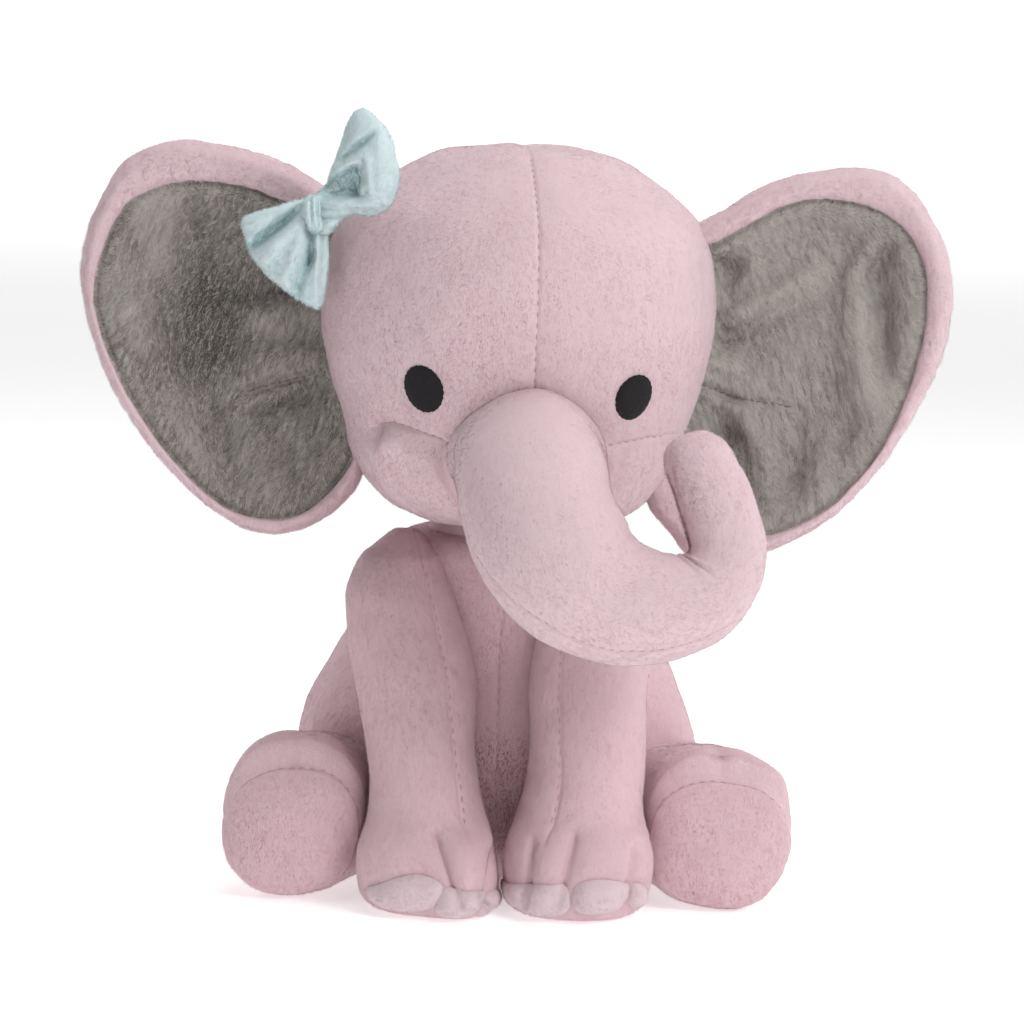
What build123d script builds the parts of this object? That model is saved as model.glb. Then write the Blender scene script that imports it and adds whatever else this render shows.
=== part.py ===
from build123d import *
import os
from math import cos, radians, sin

# A seated stuffed elephant, life size in millimetres. +Z is up, the face looks
# along -Y, and the origin is on the flat base that it sits on. Left is -X.

# Driving dimensions
SKIN = 1.5             # pile fabric with its backing
LOOSE = 0.15           # fabric to the filling behind it
PLAY = 0.7             # room between pieces that move on each other
SEWN = 0.8             # thickness of embroidery and sewn-on toenails

HEAD_Y = -10.0         # the head's vertical axis
HEAD_MID = 166.0       # middle of the head's height
HEAD_RADIUS = 58.5
HEAD_PROFILE = [       # radius and height above the middle, from the crown to the chin
    (10, 55.3), (28, 52), (46, 41.5), (56, 25.5), (HEAD_RADIUS, 10), (55.5, -11), (50, -31), (42, -46),
    (27, -54), (12, -56),
]
HEAD_SEAM_Y = -8.0     # ear-to-ear seam between face and back of the head
CHEEK_SEAM_Z = 142.0   # seam between forehead and cheek
FACE_TURN = 5.0        # the head is sewn on looking a little to the right
EYE_TURN = 33.5        # from the middle of the face round to each eye
EYE_Z = 152.0
EYE_SIZE = (11.4, 12.8)

NECK = Vector(0, 4, 107)
NECK_RADIUS = 21.5

BODY_SEAM_Y = 31.0     # side seam between belly and back
BODY_TOP = 104.0
BODY_SECTIONS = [      # height, middle, radius
    (0, 31, 43), (8, 32, 52), (25, 33, 58), (48, 31, 57), (70, 24, 48.5), (88, 16, 39.5), (BODY_TOP, 10, 32.5),
]

SHOULDER = Vector(28, -21, 92)
SHOULDER_RADIUS = 17.0
FRONT_LEG_SECTIONS = [  # x, y, z, radius, from the shoulder to the sole
    (28, -21, 92, 15.5), (26, -28, 75, 16), (24, -33.5, 60, 16.5), (22.3, -39, 42, 17.6),
    (21, -43.5, 25, 19.4), (20.8, -45.5, 12, 20.2), (20.8, -46, 3, 19.4), (20.8, -46, 0, 17.8),
]
NAIL_ANGLES = (-28, 22, 68)  # round the foot, inner one first
NAIL_RADIUS = 6.0
NAIL_Z = 7.5
FOOT = Vector(20.8, -45.5, 0)

HIP = Vector(46, 22, 25)
HIP_RADIUS = 21.5
HIND_LEG_SECTIONS = [   # x, y, z, half width, half height, from the hip to the sole
    (46, 22, 25, 20, 20), (50.5, 5, 25, 21.5, 23.8), (57, -15, 25, 22.3, 25.5),
    (61.5, -32, 24.2, 22, 24.7), (62.3, -40, 23.4, 20, 21.6),
]
HIND_SOLE_BULGE = 3.6
HIND_SEAM_Z = 25.0

TRUNK_ROOT = Vector(3.5, -53, 141)
TRUNK_ROOT_RADIUS = 23.0
TRUNK_SECTIONS = [      # x, y, z, radius, from the face to the fold
    (3.5, -56, 139, 21.8), (4.5, -70, 129, 22.0), (9, -82, 115, 20.4), (20, -88, 105, 18),
    (32, -90, 99.5, 16.3), (43, -88.5, 98.8, 15.2), (50.5, -87.2, 100.6, 14.4),
]
TRUNK_FOLD = Vector(55.5, -86, 104)
TRUNK_FOLD_RADIUS = 13.0
TRUNK_TIP_SECTIONS = [
    (57.5, -85.4, 107.5, 11.6), (58.6, -84.6, 113, 11.6), (57.6, -82.8, 122, 11), (54.4, -79.5, 132, 11),
    (51.2, -77, 140.5, 9.6), (50, -76.3, 144, 6),
]

EAR_HINGE = Vector(66, -12, 0)
EAR_THICK = 12.0
EAR_OUTLINE = [(66, 214), (96, 220), (118.5, 211.5), (128.8, 184), (122, 153.5), (107, 127), (83, 108), (66, 106)]
LINING_OUTLINE = [(66, 202), (92, 207.5), (112, 203), (123.5, 180), (119, 149), (104, 126.5), (83, 112.5), (66, 111.5)]

BOW_KNOT = Vector(-57, -40, 200.5)
BOW_NORMAL = Vector(-0.4, -0.9, 0.15)
BOW_LOOPS = {"upper": (Vector(-45, -44, 215.5), 34), "lower": (Vector(-69, -38, 187), 40)}  # middle, lean
LOOP_SIZE = (13.5, 7.0, 17.0)
WRAP_SIZE = (13, 13, 15)
WRAP_REACH = 6.0       # from the knot to where each loop starts

TAIL_ROOT = Vector(0, 97, 40)
TAIL_ROOT_RADIUS = 5.5
TAIL_END = Vector(0, 111, 22)
TAIL_RADIUS = 3.2
TUFT_RADIUS = 6.5

# Limits of the moving pieces, in degrees, where they shape the clearances
TRUNK_SWING = (-8, 14)
BOW_TILT = (-10, 10)
HIND_SPLAY = (0, 10, 20)

BIG = 600.0            # larger than the whole toy


def half_space(origin, direction):
    """Everything on the side of a plane that the direction points to."""
    plane = Plane(origin=origin, z_dir=direction)
    return plane * Box(BIG, BIG, BIG, align=(Align.CENTER, Align.CENTER, Align.MIN))


def slab(low, high):
    """Everything between two heights."""
    return Pos(0, 0, low) * Box(BIG, BIG, high - low, align=(Align.CENTER, Align.CENTER, Align.MIN))


def mirrored(shape):
    return mirror(shape, about=Plane.YZ)


def ball(centre, radius):
    return Pos(*centre) * Sphere(radius)


def turned(shape, centre, direction, angle):
    return shape.rotate(Axis(tuple(centre), tuple(direction)), angle)


def less_sweep(shape, tool, centre, direction, angles):
    """Takes away a moving piece's room at each of the angles."""
    for angle in angles:
        shape = shape - turned(tool, centre, direction, angle)
    return shape


def tube(sections, grow=0.0):
    """A soft limb: circles along a curved middle line, each square to it."""
    faces = []
    for i, (x, y, z, radius) in enumerate(sections):
        before = Vector(*sections[max(i - 1, 0)][:3])
        after = Vector(*sections[min(i + 1, len(sections) - 1)][:3])
        along = (after - before).normalized()
        across = (Vector(0, 1, 0) - along * along.dot(Vector(0, 1, 0))).normalized()
        faces.append(Plane(origin=(x, y, z), x_dir=across, z_dir=along) * Circle(radius + grow))
    return loft(faces)


def stack(sections, grow=0.0):
    """Level circles lofted one above the other."""
    return loft([Pos(x, y, z) * Circle(radius + grow) for x, y, z, radius in sections])


# Head

def head(grow=0.0):
    factor = (HEAD_RADIUS + grow) / HEAD_RADIUS
    half = [(radius * factor, height * factor) for radius, height in HEAD_PROFILE]
    with BuildPart() as solid:
        with BuildSketch(Plane.XZ):
            with BuildLine():
                Spline(*half, tangents=[(1, 0), (-1, 0)])
                Polyline(half[-1], (0, half[-1][1]), (0, half[0][1]), half[0])
            make_face()
        revolve(axis=Axis.Z)
    return Pos(0, HEAD_Y, HEAD_MID) * solid.part


def make_head():
    face_axis = (0, HEAD_Y, 0)
    room = tube(TRUNK_SECTIONS, PLAY) + ball(TRUNK_ROOT, TRUNK_ROOT_RADIUS + PLAY)
    neck_room = ball(NECK, NECK_RADIUS + PLAY)

    def fitted(shape):
        shape = less_sweep(shape, room, TRUNK_ROOT, (-1, 0, 0), (TRUNK_SWING[0], 0, TRUNK_SWING[1]))
        return shape - neck_room

    whole, core = head(), head(-SKIN)
    side = Vector(cos(radians(FACE_TURN)), sin(radians(FACE_TURN)), 0)
    parts = {"head_stuffing": fitted(head(-SKIN - LOOSE))}
    back = whole & half_space((0, HEAD_SEAM_Y, 0), (0, 1, 0))
    front = whole & half_space((0, HEAD_SEAM_Y, 0), (0, -1, 0))
    above = front & half_space((0, 0, CHEEK_SEAM_Z), (0, 0, 1))
    below = front & half_space((0, 0, CHEEK_SEAM_Z), (0, 0, -1))
    for name, sign in (("left", -1), ("right", 1)):
        own = half_space(face_axis, side * sign)
        parts["forehead_" + name] = fitted((above & own) - core)
        parts["cheek_" + name] = fitted((below & own) - core)
        parts["head_back_" + name] = fitted((back & half_space((0, 0, 0), (sign, 0, 0))) - core)
        turn = radians(FACE_TURN + sign * EYE_TURN)
        look = Vector(sin(turn), -cos(turn), 0)
        plane = Plane(origin=(0, HEAD_Y, EYE_Z), x_dir=(cos(turn), sin(turn), 0), z_dir=look)
        eye = extrude(plane * Ellipse(EYE_SIZE[0] / 2, EYE_SIZE[1] / 2), HEAD_RADIUS * 1.3)
        parts["eye_" + name] = eye & (head(SEWN) - head(0.05))
    return parts


# Neck: a ball of filling in a sewn cover that lets the head turn and nod

def make_neck():
    shell = ball(NECK, NECK_RADIUS) - ball(NECK, NECK_RADIUS - SKIN)
    return {"neck_cover": shell, "neck_stuffing": ball(NECK, NECK_RADIUS - SKIN - LOOSE)}


# Trunk

def make_trunk():
    def base(grow):
        return tube(TRUNK_SECTIONS, grow) + ball(TRUNK_ROOT, TRUNK_ROOT_RADIUS + grow)

    def tip(grow):
        return tube(TRUNK_TIP_SECTIONS, grow) + ball(TRUNK_FOLD, TRUNK_FOLD_RADIUS + grow)

    fold_room = ball(TRUNK_FOLD, TRUNK_FOLD_RADIUS + PLAY)
    end = Vector(*TRUNK_SECTIONS[-1][:3])
    inside = half_space(end - (TRUNK_FOLD - end).normalized() * SKIN, end - TRUNK_FOLD)
    above = half_space((0, -68, 131), (0, -0.45, 0.9))
    below = half_space((0, -68, 131), (0, 0.45, -0.9))
    cover = base(0) - base(-SKIN) - fold_room
    tip_cover = tip(0) - tip(-SKIN)
    outer = half_space(TRUNK_FOLD, (0, -1, 0.12))
    inner = half_space(TRUNK_FOLD, (0, 1, -0.12))
    return {
        "trunk_top_panel": cover & above,
        "trunk_under_panel": cover & below,
        "trunk_stuffing": (base(-SKIN - LOOSE) & inside) - fold_room,
        "trunk_tip_outer_panel": tip_cover & outer,
        "trunk_tip_inner_panel": tip_cover & inner,
        "trunk_tip_stuffing": tip(-SKIN - LOOSE),
    }


# Ears: two fabrics with a thin pad between, held along an upright seam

def ear_sheet(outline, y_from, y_to):
    with BuildPart() as sheet:
        with BuildSketch(Plane.XZ.offset(-y_from)):
            with BuildLine():
                Spline(*outline)
                Line(outline[-1], outline[0])
            make_face()
        extrude(amount=y_from - y_to)
    return sheet.part


def make_ears():
    back_y = EAR_HINGE.Y + EAR_THICK / 2
    front_y = EAR_HINGE.Y - EAR_THICK / 2
    root = Pos(EAR_HINGE.X, EAR_HINGE.Y, 112) * Cylinder(
        EAR_THICK / 2 - SKIN, 94, align=(Align.CENTER, Align.CENTER, Align.MIN))
    lining = ear_sheet(LINING_OUTLINE, front_y + SKIN, front_y)
    pieces = {
        "back_panel": ear_sheet(EAR_OUTLINE, back_y, back_y - SKIN),
        "batting": ear_sheet(EAR_OUTLINE, back_y - SKIN, front_y + SKIN) + root,
        "rim": ear_sheet(EAR_OUTLINE, front_y + SKIN, front_y) - lining,
        "lining": lining,
    }
    parts = {}
    for name, piece in pieces.items():
        parts["ear_right_" + name] = piece
        parts["ear_left_" + name] = mirrored(piece)
    return parts


# Bow: two stuffed-looking loops of ribbon fabric and a wrap between them

def make_bow():
    head_room = head(PLAY)
    wrap = fillet(Box(*WRAP_SIZE).edges(), 4)
    wrap = Pos(*BOW_KNOT) * Rot(0, 42, 0) * wrap
    parts = {}
    for name, (centre, lean) in BOW_LOOPS.items():
        outward = (centre - BOW_KNOT).normalized()
        start = BOW_KNOT + outward * WRAP_REACH
        loop = Pos(*centre) * Rot(0, lean, 0) * scale(Sphere(1), by=LOOP_SIZE)
        parts[f"bow_{name}_loop"] = loop & half_space(start, outward)
        wrap = wrap & half_space(start, outward * -1)
    parts["bow_wrap"] = wrap
    for name, piece in parts.items():
        parts[name] = less_sweep(piece, head_room, BOW_KNOT, BOW_NORMAL, (BOW_TILT[0], 0, BOW_TILT[1]))
    return parts


# Body

def body(grow=0.0, low=0.0, high=BODY_TOP):
    solid = stack([(0, y, z, radius) for z, y, radius in BODY_SECTIONS], grow)
    return solid & slab(low, high)


def front_leg(grow=0.0):
    return stack(FRONT_LEG_SECTIONS, grow) + ball(SHOULDER, SHOULDER_RADIUS + grow)


def hind_leg(grow=0.0):
    faces = []
    for x, y, z, half_width, half_height in HIND_LEG_SECTIONS:
        plane = Plane(origin=(x, y, z), x_dir=(1, 0, 0), z_dir=(0, -1, 0))
        faces.append(plane * Ellipse(half_width + grow, half_height + grow))
    return (loft(faces) + ball(HIP, HIP_RADIUS + grow)) & slab(0, BIG)


def make_body():
    def fitted(shape):
        shape = shape - ball(NECK, NECK_RADIUS + PLAY)
        rooms = [front_leg(PLAY)]
        rooms += [turned(hind_leg(PLAY), HIP, (0, 0, 1), angle) for angle in HIND_SPLAY]
        for room in rooms:
            shape = shape - room - mirrored(room)
        return shape

    whole = body()
    core = body(-SKIN, SKIN, BODY_TOP - SKIN)
    cover = fitted((whole & slab(SKIN, BIG)) - core)
    parts = {
        "body_base": fitted(whole & slab(0, SKIN)),
        "body_stuffing": fitted(body(-SKIN - LOOSE, SKIN, BODY_TOP - SKIN - LOOSE)),
    }
    for face, along in (("belly", -1), ("back", 1)):
        half = cover & half_space((0, BODY_SEAM_Y, 0), (0, along, 0))
        parts[face + "_left"] = half & half_space((0, 0, 0), (-1, 0, 0))
        parts[face + "_right"] = half & half_space((0, 0, 0), (1, 0, 0))
    return parts


# Legs

def make_front_legs():
    outer = front_leg()
    cover = (outer - front_leg(-SKIN)) & slab(SKIN, BIG)
    seam = Vector(24, -34, 60)
    nail_ring = (front_leg(SEWN) - front_leg(0.05)) & slab(1.5, 30)
    nails = None
    for angle in NAIL_ANGLES:
        turn = radians(angle)
        look = Vector(sin(turn), -cos(turn), 0)
        plane = Plane(origin=(FOOT.X, FOOT.Y, NAIL_Z), z_dir=look)
        nail = extrude(plane * Circle(NAIL_RADIUS), 30) & nail_ring
        nails = nail if nails is None else nails + nail
    pieces = {
        "outer_cover": cover & half_space(seam, (1, 0, 0.1)),
        "inner_cover": cover & half_space(seam, (-1, 0, -0.1)),
        "stuffing": front_leg(-SKIN - LOOSE) & slab(SKIN, BIG),
        "sole": outer & slab(0, SKIN),
        "toenails": nails,
    }
    return both_sides("front_leg", pieces)


def make_hind_legs():
    outer = hind_leg()
    shell = outer - (hind_leg(-SKIN) & slab(SKIN, BIG))
    x, y, z, half_width, half_height = HIND_LEG_SECTIONS[-1]
    plane = Plane(origin=(x, y, z), x_dir=(1, 0, 0), z_dir=(0, -1, 0))
    rim = plane * Ellipse(half_width, half_height)
    face = plane.offset(HIND_SOLE_BULGE) * Ellipse(half_width * 0.7, half_height * 0.7)
    sole = loft([rim, face])
    pieces = {
        "upper_cover": shell & half_space((0, 0, HIND_SEAM_Z), (0, 0, 1)),
        "lower_cover": shell & half_space((0, 0, HIND_SEAM_Z), (0, 0, -1)),
        "stuffing": hind_leg(-SKIN - LOOSE) & slab(SKIN + LOOSE, BIG),
        "sole": sole,
    }
    return both_sides("hind_leg", pieces)


def both_sides(limb, pieces):
    parts = {}
    for name, piece in pieces.items():
        parts[f"{limb}_right_{name}"] = piece
        parts[f"{limb}_left_{name}"] = mirrored(piece)
    return parts


# Tail

def make_tail():
    along = (TAIL_END - TAIL_ROOT).normalized()
    length = (TAIL_END - TAIL_ROOT).length
    plane = Plane(origin=tuple(TAIL_ROOT), z_dir=along)
    cord = extrude(plane * Circle(TAIL_RADIUS), length) + ball(TAIL_ROOT, TAIL_ROOT_RADIUS)
    tuft = ball(TAIL_END + along * (TUFT_RADIUS * 0.4), TUFT_RADIUS)
    return {"tail_cover": cord - tuft, "tail_tuft": tuft}


def main():
    os.makedirs("parts", exist_ok=True)
    makers = (make_head, make_neck, make_trunk, make_ears, make_bow, make_body, make_front_legs, make_hind_legs,
              make_tail)
    for maker in makers:
        for name, shape in maker().items():
            export_step(shape, f"parts/{name}.step")


main()
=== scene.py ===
import math
import bpy
import numpy as np
from mathutils import Matrix, Vector


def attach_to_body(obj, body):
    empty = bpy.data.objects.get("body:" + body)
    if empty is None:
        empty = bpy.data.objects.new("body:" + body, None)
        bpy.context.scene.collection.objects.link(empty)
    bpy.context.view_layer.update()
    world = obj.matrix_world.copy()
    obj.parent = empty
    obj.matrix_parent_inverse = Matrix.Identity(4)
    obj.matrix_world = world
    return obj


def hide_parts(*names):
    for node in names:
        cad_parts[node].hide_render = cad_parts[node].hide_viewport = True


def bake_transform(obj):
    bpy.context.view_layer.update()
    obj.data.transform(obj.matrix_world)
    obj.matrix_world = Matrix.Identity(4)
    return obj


# A seated stuffed elephant in pink pile fabric. Shapes are in millimetres in the CAD model's frame, with the face
# towards -Y, and mesh_object turns them into metres. "Left" is the side of the bow, at negative X. Angles round the
# head, body and legs are in degrees from the front.

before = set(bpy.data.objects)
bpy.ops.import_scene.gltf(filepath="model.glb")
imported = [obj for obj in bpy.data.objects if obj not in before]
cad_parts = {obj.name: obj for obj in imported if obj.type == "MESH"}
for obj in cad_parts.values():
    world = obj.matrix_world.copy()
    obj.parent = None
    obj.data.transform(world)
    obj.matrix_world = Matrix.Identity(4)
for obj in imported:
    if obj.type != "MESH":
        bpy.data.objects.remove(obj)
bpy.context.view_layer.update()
MM = 0.001

HEAD_Y = -10.0
FACE_TURN = 5.5     # the forehead's centre seam
EYES = {            # angle and height, half width and height, tilt in radians
    "left": (-28.9, 152.5, 6.15, 6.75, 0.10),
    "right": (38.5, 151.4, 6.3, 6.6, -0.16),
}


# ---------------------------------------------------------------- numbers

def unit(v):
    return v / np.maximum(np.linalg.norm(v, axis=-1, keepdims=True), 1e-9)


def lattice(ix, iy, iz, seed):
    n = (ix * 374761393 + iy * 668265263 + iz * 1440662683 + seed * 974634777) & 0xFFFFFFFF
    n = ((n ^ (n >> 13)) * 1274126177) & 0xFFFFFFFF
    return ((n ^ (n >> 16)) & 0xFFFF) / 32767.5 - 1.0


def noise(p, size, seed=0):
    """Smooth noise between -1 and 1, one lump about every size mm."""
    q = np.asarray(p, float) / size + 512.37
    cell = np.floor(q).astype(np.int64)
    f = q - cell
    f = f * f * (3 - 2 * f)
    total = 0.0
    for dx in (0, 1):
        for dy in (0, 1):
            for dz in (0, 1):
                weight = (np.where(dx, f[..., 0], 1 - f[..., 0]) * np.where(dy, f[..., 1], 1 - f[..., 1])
                          * np.where(dz, f[..., 2], 1 - f[..., 2]))
                total = total + weight * lattice(cell[..., 0] + dx, cell[..., 1] + dy, cell[..., 2] + dz, seed)
    return total


def smoothstep(x, low, high):
    """0 up to low, 1 from high, and smooth between."""
    t = np.clip((x - low) / (high - low), 0, 1)
    return t * t * (3 - 2 * t)


def bell(x, width):
    """1 at zero, falling away on both sides."""
    return np.exp(-(x / width) ** 2)


def bent(v, power):
    """A power of the size of v that keeps its sign, which squares up a round section."""
    return np.sign(v) * np.abs(v) ** power


def xyz(x, y, z):
    """Points or directions from three fields, stretched to one shape."""
    return np.stack(np.broadcast_arrays(x, y, z), axis=-1)


def around(radius, angle, y, z, x=0):
    """Points round an upright axis, at angles in radians from the front."""
    return xyz(x + radius * np.sin(angle), y - radius * np.cos(angle), z)


def circle(n):
    return np.linspace(0, 2 * np.pi, n, endpoint=False)


def distances(path):
    """How far along a path each of its points is."""
    return np.concatenate([[0], np.cumsum(np.linalg.norm(np.diff(path, axis=0), axis=1))])


def sample(path, steps, at):
    """Every column of a path, read at given distances along it."""
    return [np.interp(at, steps, column)[:, None] for column in path.T]


def curve(points, n, closed=False):
    """n points along a smooth curve through the given ones, evenly spaced."""
    p = np.array(points, float)
    if closed:
        p = np.vstack([p[-1], p, p[0], p[1]])
    else:
        p = np.vstack([2 * p[0] - p[1], p, 2 * p[-1] - p[-2]])
    out = []
    for i in range(1, len(p) - 2):
        t = np.linspace(0, 1, 40, endpoint=False)[:, None]
        a, b, c, d = p[i - 1], p[i], p[i + 1], p[i + 2]
        out.append(0.5 * (2 * b + (c - a) * t + (2 * a - 5 * b + 4 * c - d) * t ** 2
                          + (3 * b - a - 3 * c + d) * t ** 3))
    out.append(p[-2][None])
    q = np.vstack(out)
    s = distances(q[:, :3])
    at = np.linspace(0, s[-1], n + 1)[:-1] if closed else np.linspace(0, s[-1], n)
    return np.stack([np.interp(at, s, q[:, k]) for k in range(q.shape[1])], axis=1)


def spread(low, high, step, fine=(), fine_step=0.3, reach=1.6):
    """Values from low to high, closer together around each of the fine ones."""
    out, x = [low], low
    while x < high:
        near = min([abs(x + step / 2 - f) for f in fine], default=9e9)
        x = x + (fine_step if near < reach else step)
        out.append(min(x, high))
    values = np.array(out)
    for f in fine:
        if low < f < high:
            values[np.argmin(abs(values - f))] = f
    return np.unique(values)


# ---------------------------------------------------------------- materials

def tone(screen):
    """A colour from its 0-255 screen values."""
    c = np.array(screen) / 255
    c = np.where(c > 0.04045, ((c + 0.055) / 1.055) ** 2.4, c / 12.92)
    return (*map(float, c), 1.0)


def principled(name, colour, rough, sheen, tint):
    material = bpy.data.materials.new(name)
    material.use_nodes = True
    shader = material.node_tree.nodes["Principled BSDF"]
    shader.inputs["Base Color"].default_value = colour
    shader.inputs["Roughness"].default_value = rough
    shader.inputs["Specular IOR Level"].default_value = 0.12
    shader.inputs["Sheen Weight"].default_value = sheen
    shader.inputs["Sheen Roughness"].default_value = 0.45
    shader.inputs["Sheen Tint"].default_value = tint
    material.diffuse_color = colour
    return material, shader


def fabric(name, colour, dark, light, sheen, tint, grain=900, bump=0.35):
    """Pile fabric: broad patches of tone, a fine grain, and the painted light and painted shade that the mesh's
    attribute carries.
    """
    material, shader = principled(name, tone(colour), 0.92, sheen, tint)
    nodes, links = material.node_tree.nodes, material.node_tree.links
    place = nodes.new("ShaderNodeTexCoord")

    def speckle(scale, detail, stretch):
        mapping = nodes.new("ShaderNodeMapping")
        mapping.inputs["Scale"].default_value = stretch
        texture = nodes.new("ShaderNodeTexNoise")
        texture.inputs["Scale"].default_value = scale
        texture.inputs["Detail"].default_value = detail
        links.new(place.outputs["Object"], mapping.inputs["Vector"])
        links.new(mapping.outputs["Vector"], texture.inputs["Vector"])
        return texture

    broad = speckle(45, 3, (1, 1, 1))
    fine = speckle(grain, 2, (1, 1, 0.45))
    nap = nodes.new("ShaderNodeAttribute")
    nap.attribute_name = "nap"

    total = None
    # the mesh's attribute adds painted light and painted shade to the colour
    for value, factor in ((broad, 0.45), (fine, 0.55), (nap, 0.15)):
        node = nodes.new("ShaderNodeMath")
        node.operation = "MULTIPLY_ADD"
        node.inputs[1].default_value = factor
        links.new(value.outputs["Fac"], node.inputs[0])
        if total is not None:
            links.new(total, node.inputs[2])
        total = node.outputs[0]
    ramp = nodes.new("ShaderNodeValToRGB")
    stops = ramp.color_ramp.elements
    stops[0].position, stops[0].color = 0.36, tone(dark)
    stops[1].position, stops[1].color = 0.64, tone(light)
    stops.new(0.5).color = tone(colour)
    links.new(total, ramp.inputs["Fac"])
    links.new(ramp.outputs["Color"], shader.inputs["Base Color"])
    lift = nodes.new("ShaderNodeBump")
    lift.inputs["Strength"].default_value = bump
    lift.inputs["Distance"].default_value = 0.0004
    links.new(fine.outputs["Fac"], lift.inputs["Height"])
    links.new(lift.outputs["Normal"], shader.inputs["Normal"])
    return material


def fibres(name, colours, sheen, tint):
    return [principled(f"{name}_{i}", tone(c), 0.9, sheen, tint)[0] for i, c in enumerate(colours)]


ROSE = (1.0, 0.95, 0.965, 1)
WHITE = (1, 1, 1, 1)
# each fabric: its usual colour, its darker one and its lighter one, in screen values; random patches and painted light
# and shade pick between them
PINK = fabric("pink_plush", (208, 180, 187), (194, 160, 169), (217, 194, 199), 0.3, ROSE)
# painted shade: a deeper, more saturated copy of the pink plush for the body and legs, which sit in more shade
SHADED_PINK = fabric("shaded_pink_plush", (206, 170, 179), (190, 148, 159), (216, 186, 193), 0.25, ROSE)
PALE = fabric("pale_pink_plush", (211, 188, 194), (200, 174, 181), (220, 201, 206), 0.4, ROSE)
GRAY = fabric("gray_lining", (142, 136, 131), (116, 111, 106), (166, 160, 154), 0.15, WHITE, grain=700, bump=0.6)
MINT = fabric("mint_fabric", (192, 212, 214), (134, 176, 180), (208, 222, 224), 0.25, WHITE)
BLACK = fabric("black_embroidery", (24, 22, 24), (12, 11, 12), (40, 38, 40), 0.1, WHITE, grain=1500)
THREAD = fabric("stitching_thread", (187, 147, 157), (174, 131, 142), (198, 160, 169), 0.1, ROSE)
GRAY_THREAD = fabric("gray_stitching_thread", (112, 105, 100), (98, 92, 88), (126, 119, 114), 0.1, WHITE)

# each pile: its fibres' colours, from turned away from the light to facing it
PINK_PILE = fibres("pink_pile", [(199, 160, 171), (207, 175, 184), (213, 187, 193), (222, 200, 205)], 0.45, ROSE)
# painted shade: the same deeper copy of the pink pile, for the body and legs
SHADED_PINK_PILE = fibres("shaded_pink_pile", [(195, 151, 163), (205, 167, 177), (212, 179, 187), (221, 193, 199)], 0.4, ROSE)
# painted highlight: paler fibres for the hind legs' tops, where the light falls
LIT_TOP_PILE = fibres("lit_top_pile", [(212, 186, 193), (222, 200, 206), (231, 214, 218)], 0.5, ROSE)
PALE_PILE = fibres("pale_pile", [(203, 178, 185), (212, 190, 196), (220, 202, 207)], 0.25, ROSE)
GRAY_PILE = fibres("gray_pile", [(92, 88, 84), (112, 107, 103), (131, 125, 121), (149, 143, 138), (166, 160, 155),
                                 (182, 176, 170)], 0.1, WHITE)
MINT_PILE = fibres("mint_pile", [(134, 184, 188), (160, 202, 205), (186, 214, 216), (206, 224, 225), (220, 233, 234)],
                   0.25, WHITE)
# painted shade: its darkest fibres go low on the belly between the front legs, where shade falls
SHADED_BELLY_PILE = fibres("shaded_belly_pile", [(160, 108, 117), (184, 140, 150), (199, 161, 170), (208, 174, 182),
                                   (216, 186, 193)], 0.3, ROSE)
# painted shade: darker, more saturated fibres for the hollow inside the trunk's tip
SHADED_HOLLOW_PILE = fibres("shaded_hollow_pile", [(178, 128, 141), (192, 146, 157), (206, 168, 176)], 0.3, ROSE)


# ---------------------------------------------------------------- meshes

def mesh_object(name, points, faces, materials, slots=None, smooth=True, nap=None, shading=None):
    mesh = bpy.data.meshes.new(name)
    mesh.vertices.add(len(points))
    mesh.vertices.foreach_set("co", np.ascontiguousarray(points * MM, np.float32).ravel())
    sides = faces.shape[1]
    mesh.loops.add(faces.size)
    mesh.loops.foreach_set("vertex_index", np.ascontiguousarray(faces, np.int32).ravel())
    mesh.polygons.add(len(faces))
    mesh.polygons.foreach_set("loop_start", np.arange(len(faces), dtype=np.int32) * sides)
    if slots is not None:
        mesh.polygons.foreach_set("material_index", np.ascontiguousarray(slots, np.int32))
    for material in materials:
        mesh.materials.append(material)
    mesh.update(calc_edges=True)
    mesh.polygons.foreach_set("use_smooth", np.full(len(faces), smooth))
    if nap is not None:
        attribute = mesh.attributes.new("nap", "FLOAT", "POINT")
        attribute.data.foreach_set("value", np.ascontiguousarray(nap, np.float32))
    if shading is not None:
        mesh.normals_split_custom_set(shading)
    thing = bpy.data.objects.new(name, mesh)
    bpy.context.scene.collection.objects.link(thing)
    return thing


def normals_of(p, closed):
    """Outward normals of a grid of points that surrounds its own middle."""
    along = np.gradient(p, axis=0)
    around = (np.roll(p, -1, 1) - np.roll(p, 1, 1)) if closed else np.gradient(p, axis=1)
    n = np.cross(along, around)
    size = np.linalg.norm(n, axis=-1)
    n = unit(n)
    for row in range(len(p)):
        if size[row].max() < 1e-4:
            near = 1 if row < len(p) / 2 else -2
            n[row] = unit(n[near].mean(axis=0)) if row in (0, len(p) - 1) else n[row]
    if ((p - p.reshape(-1, 3).mean(axis=0)) * n).sum() < 0:
        n = -n
    return n


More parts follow.
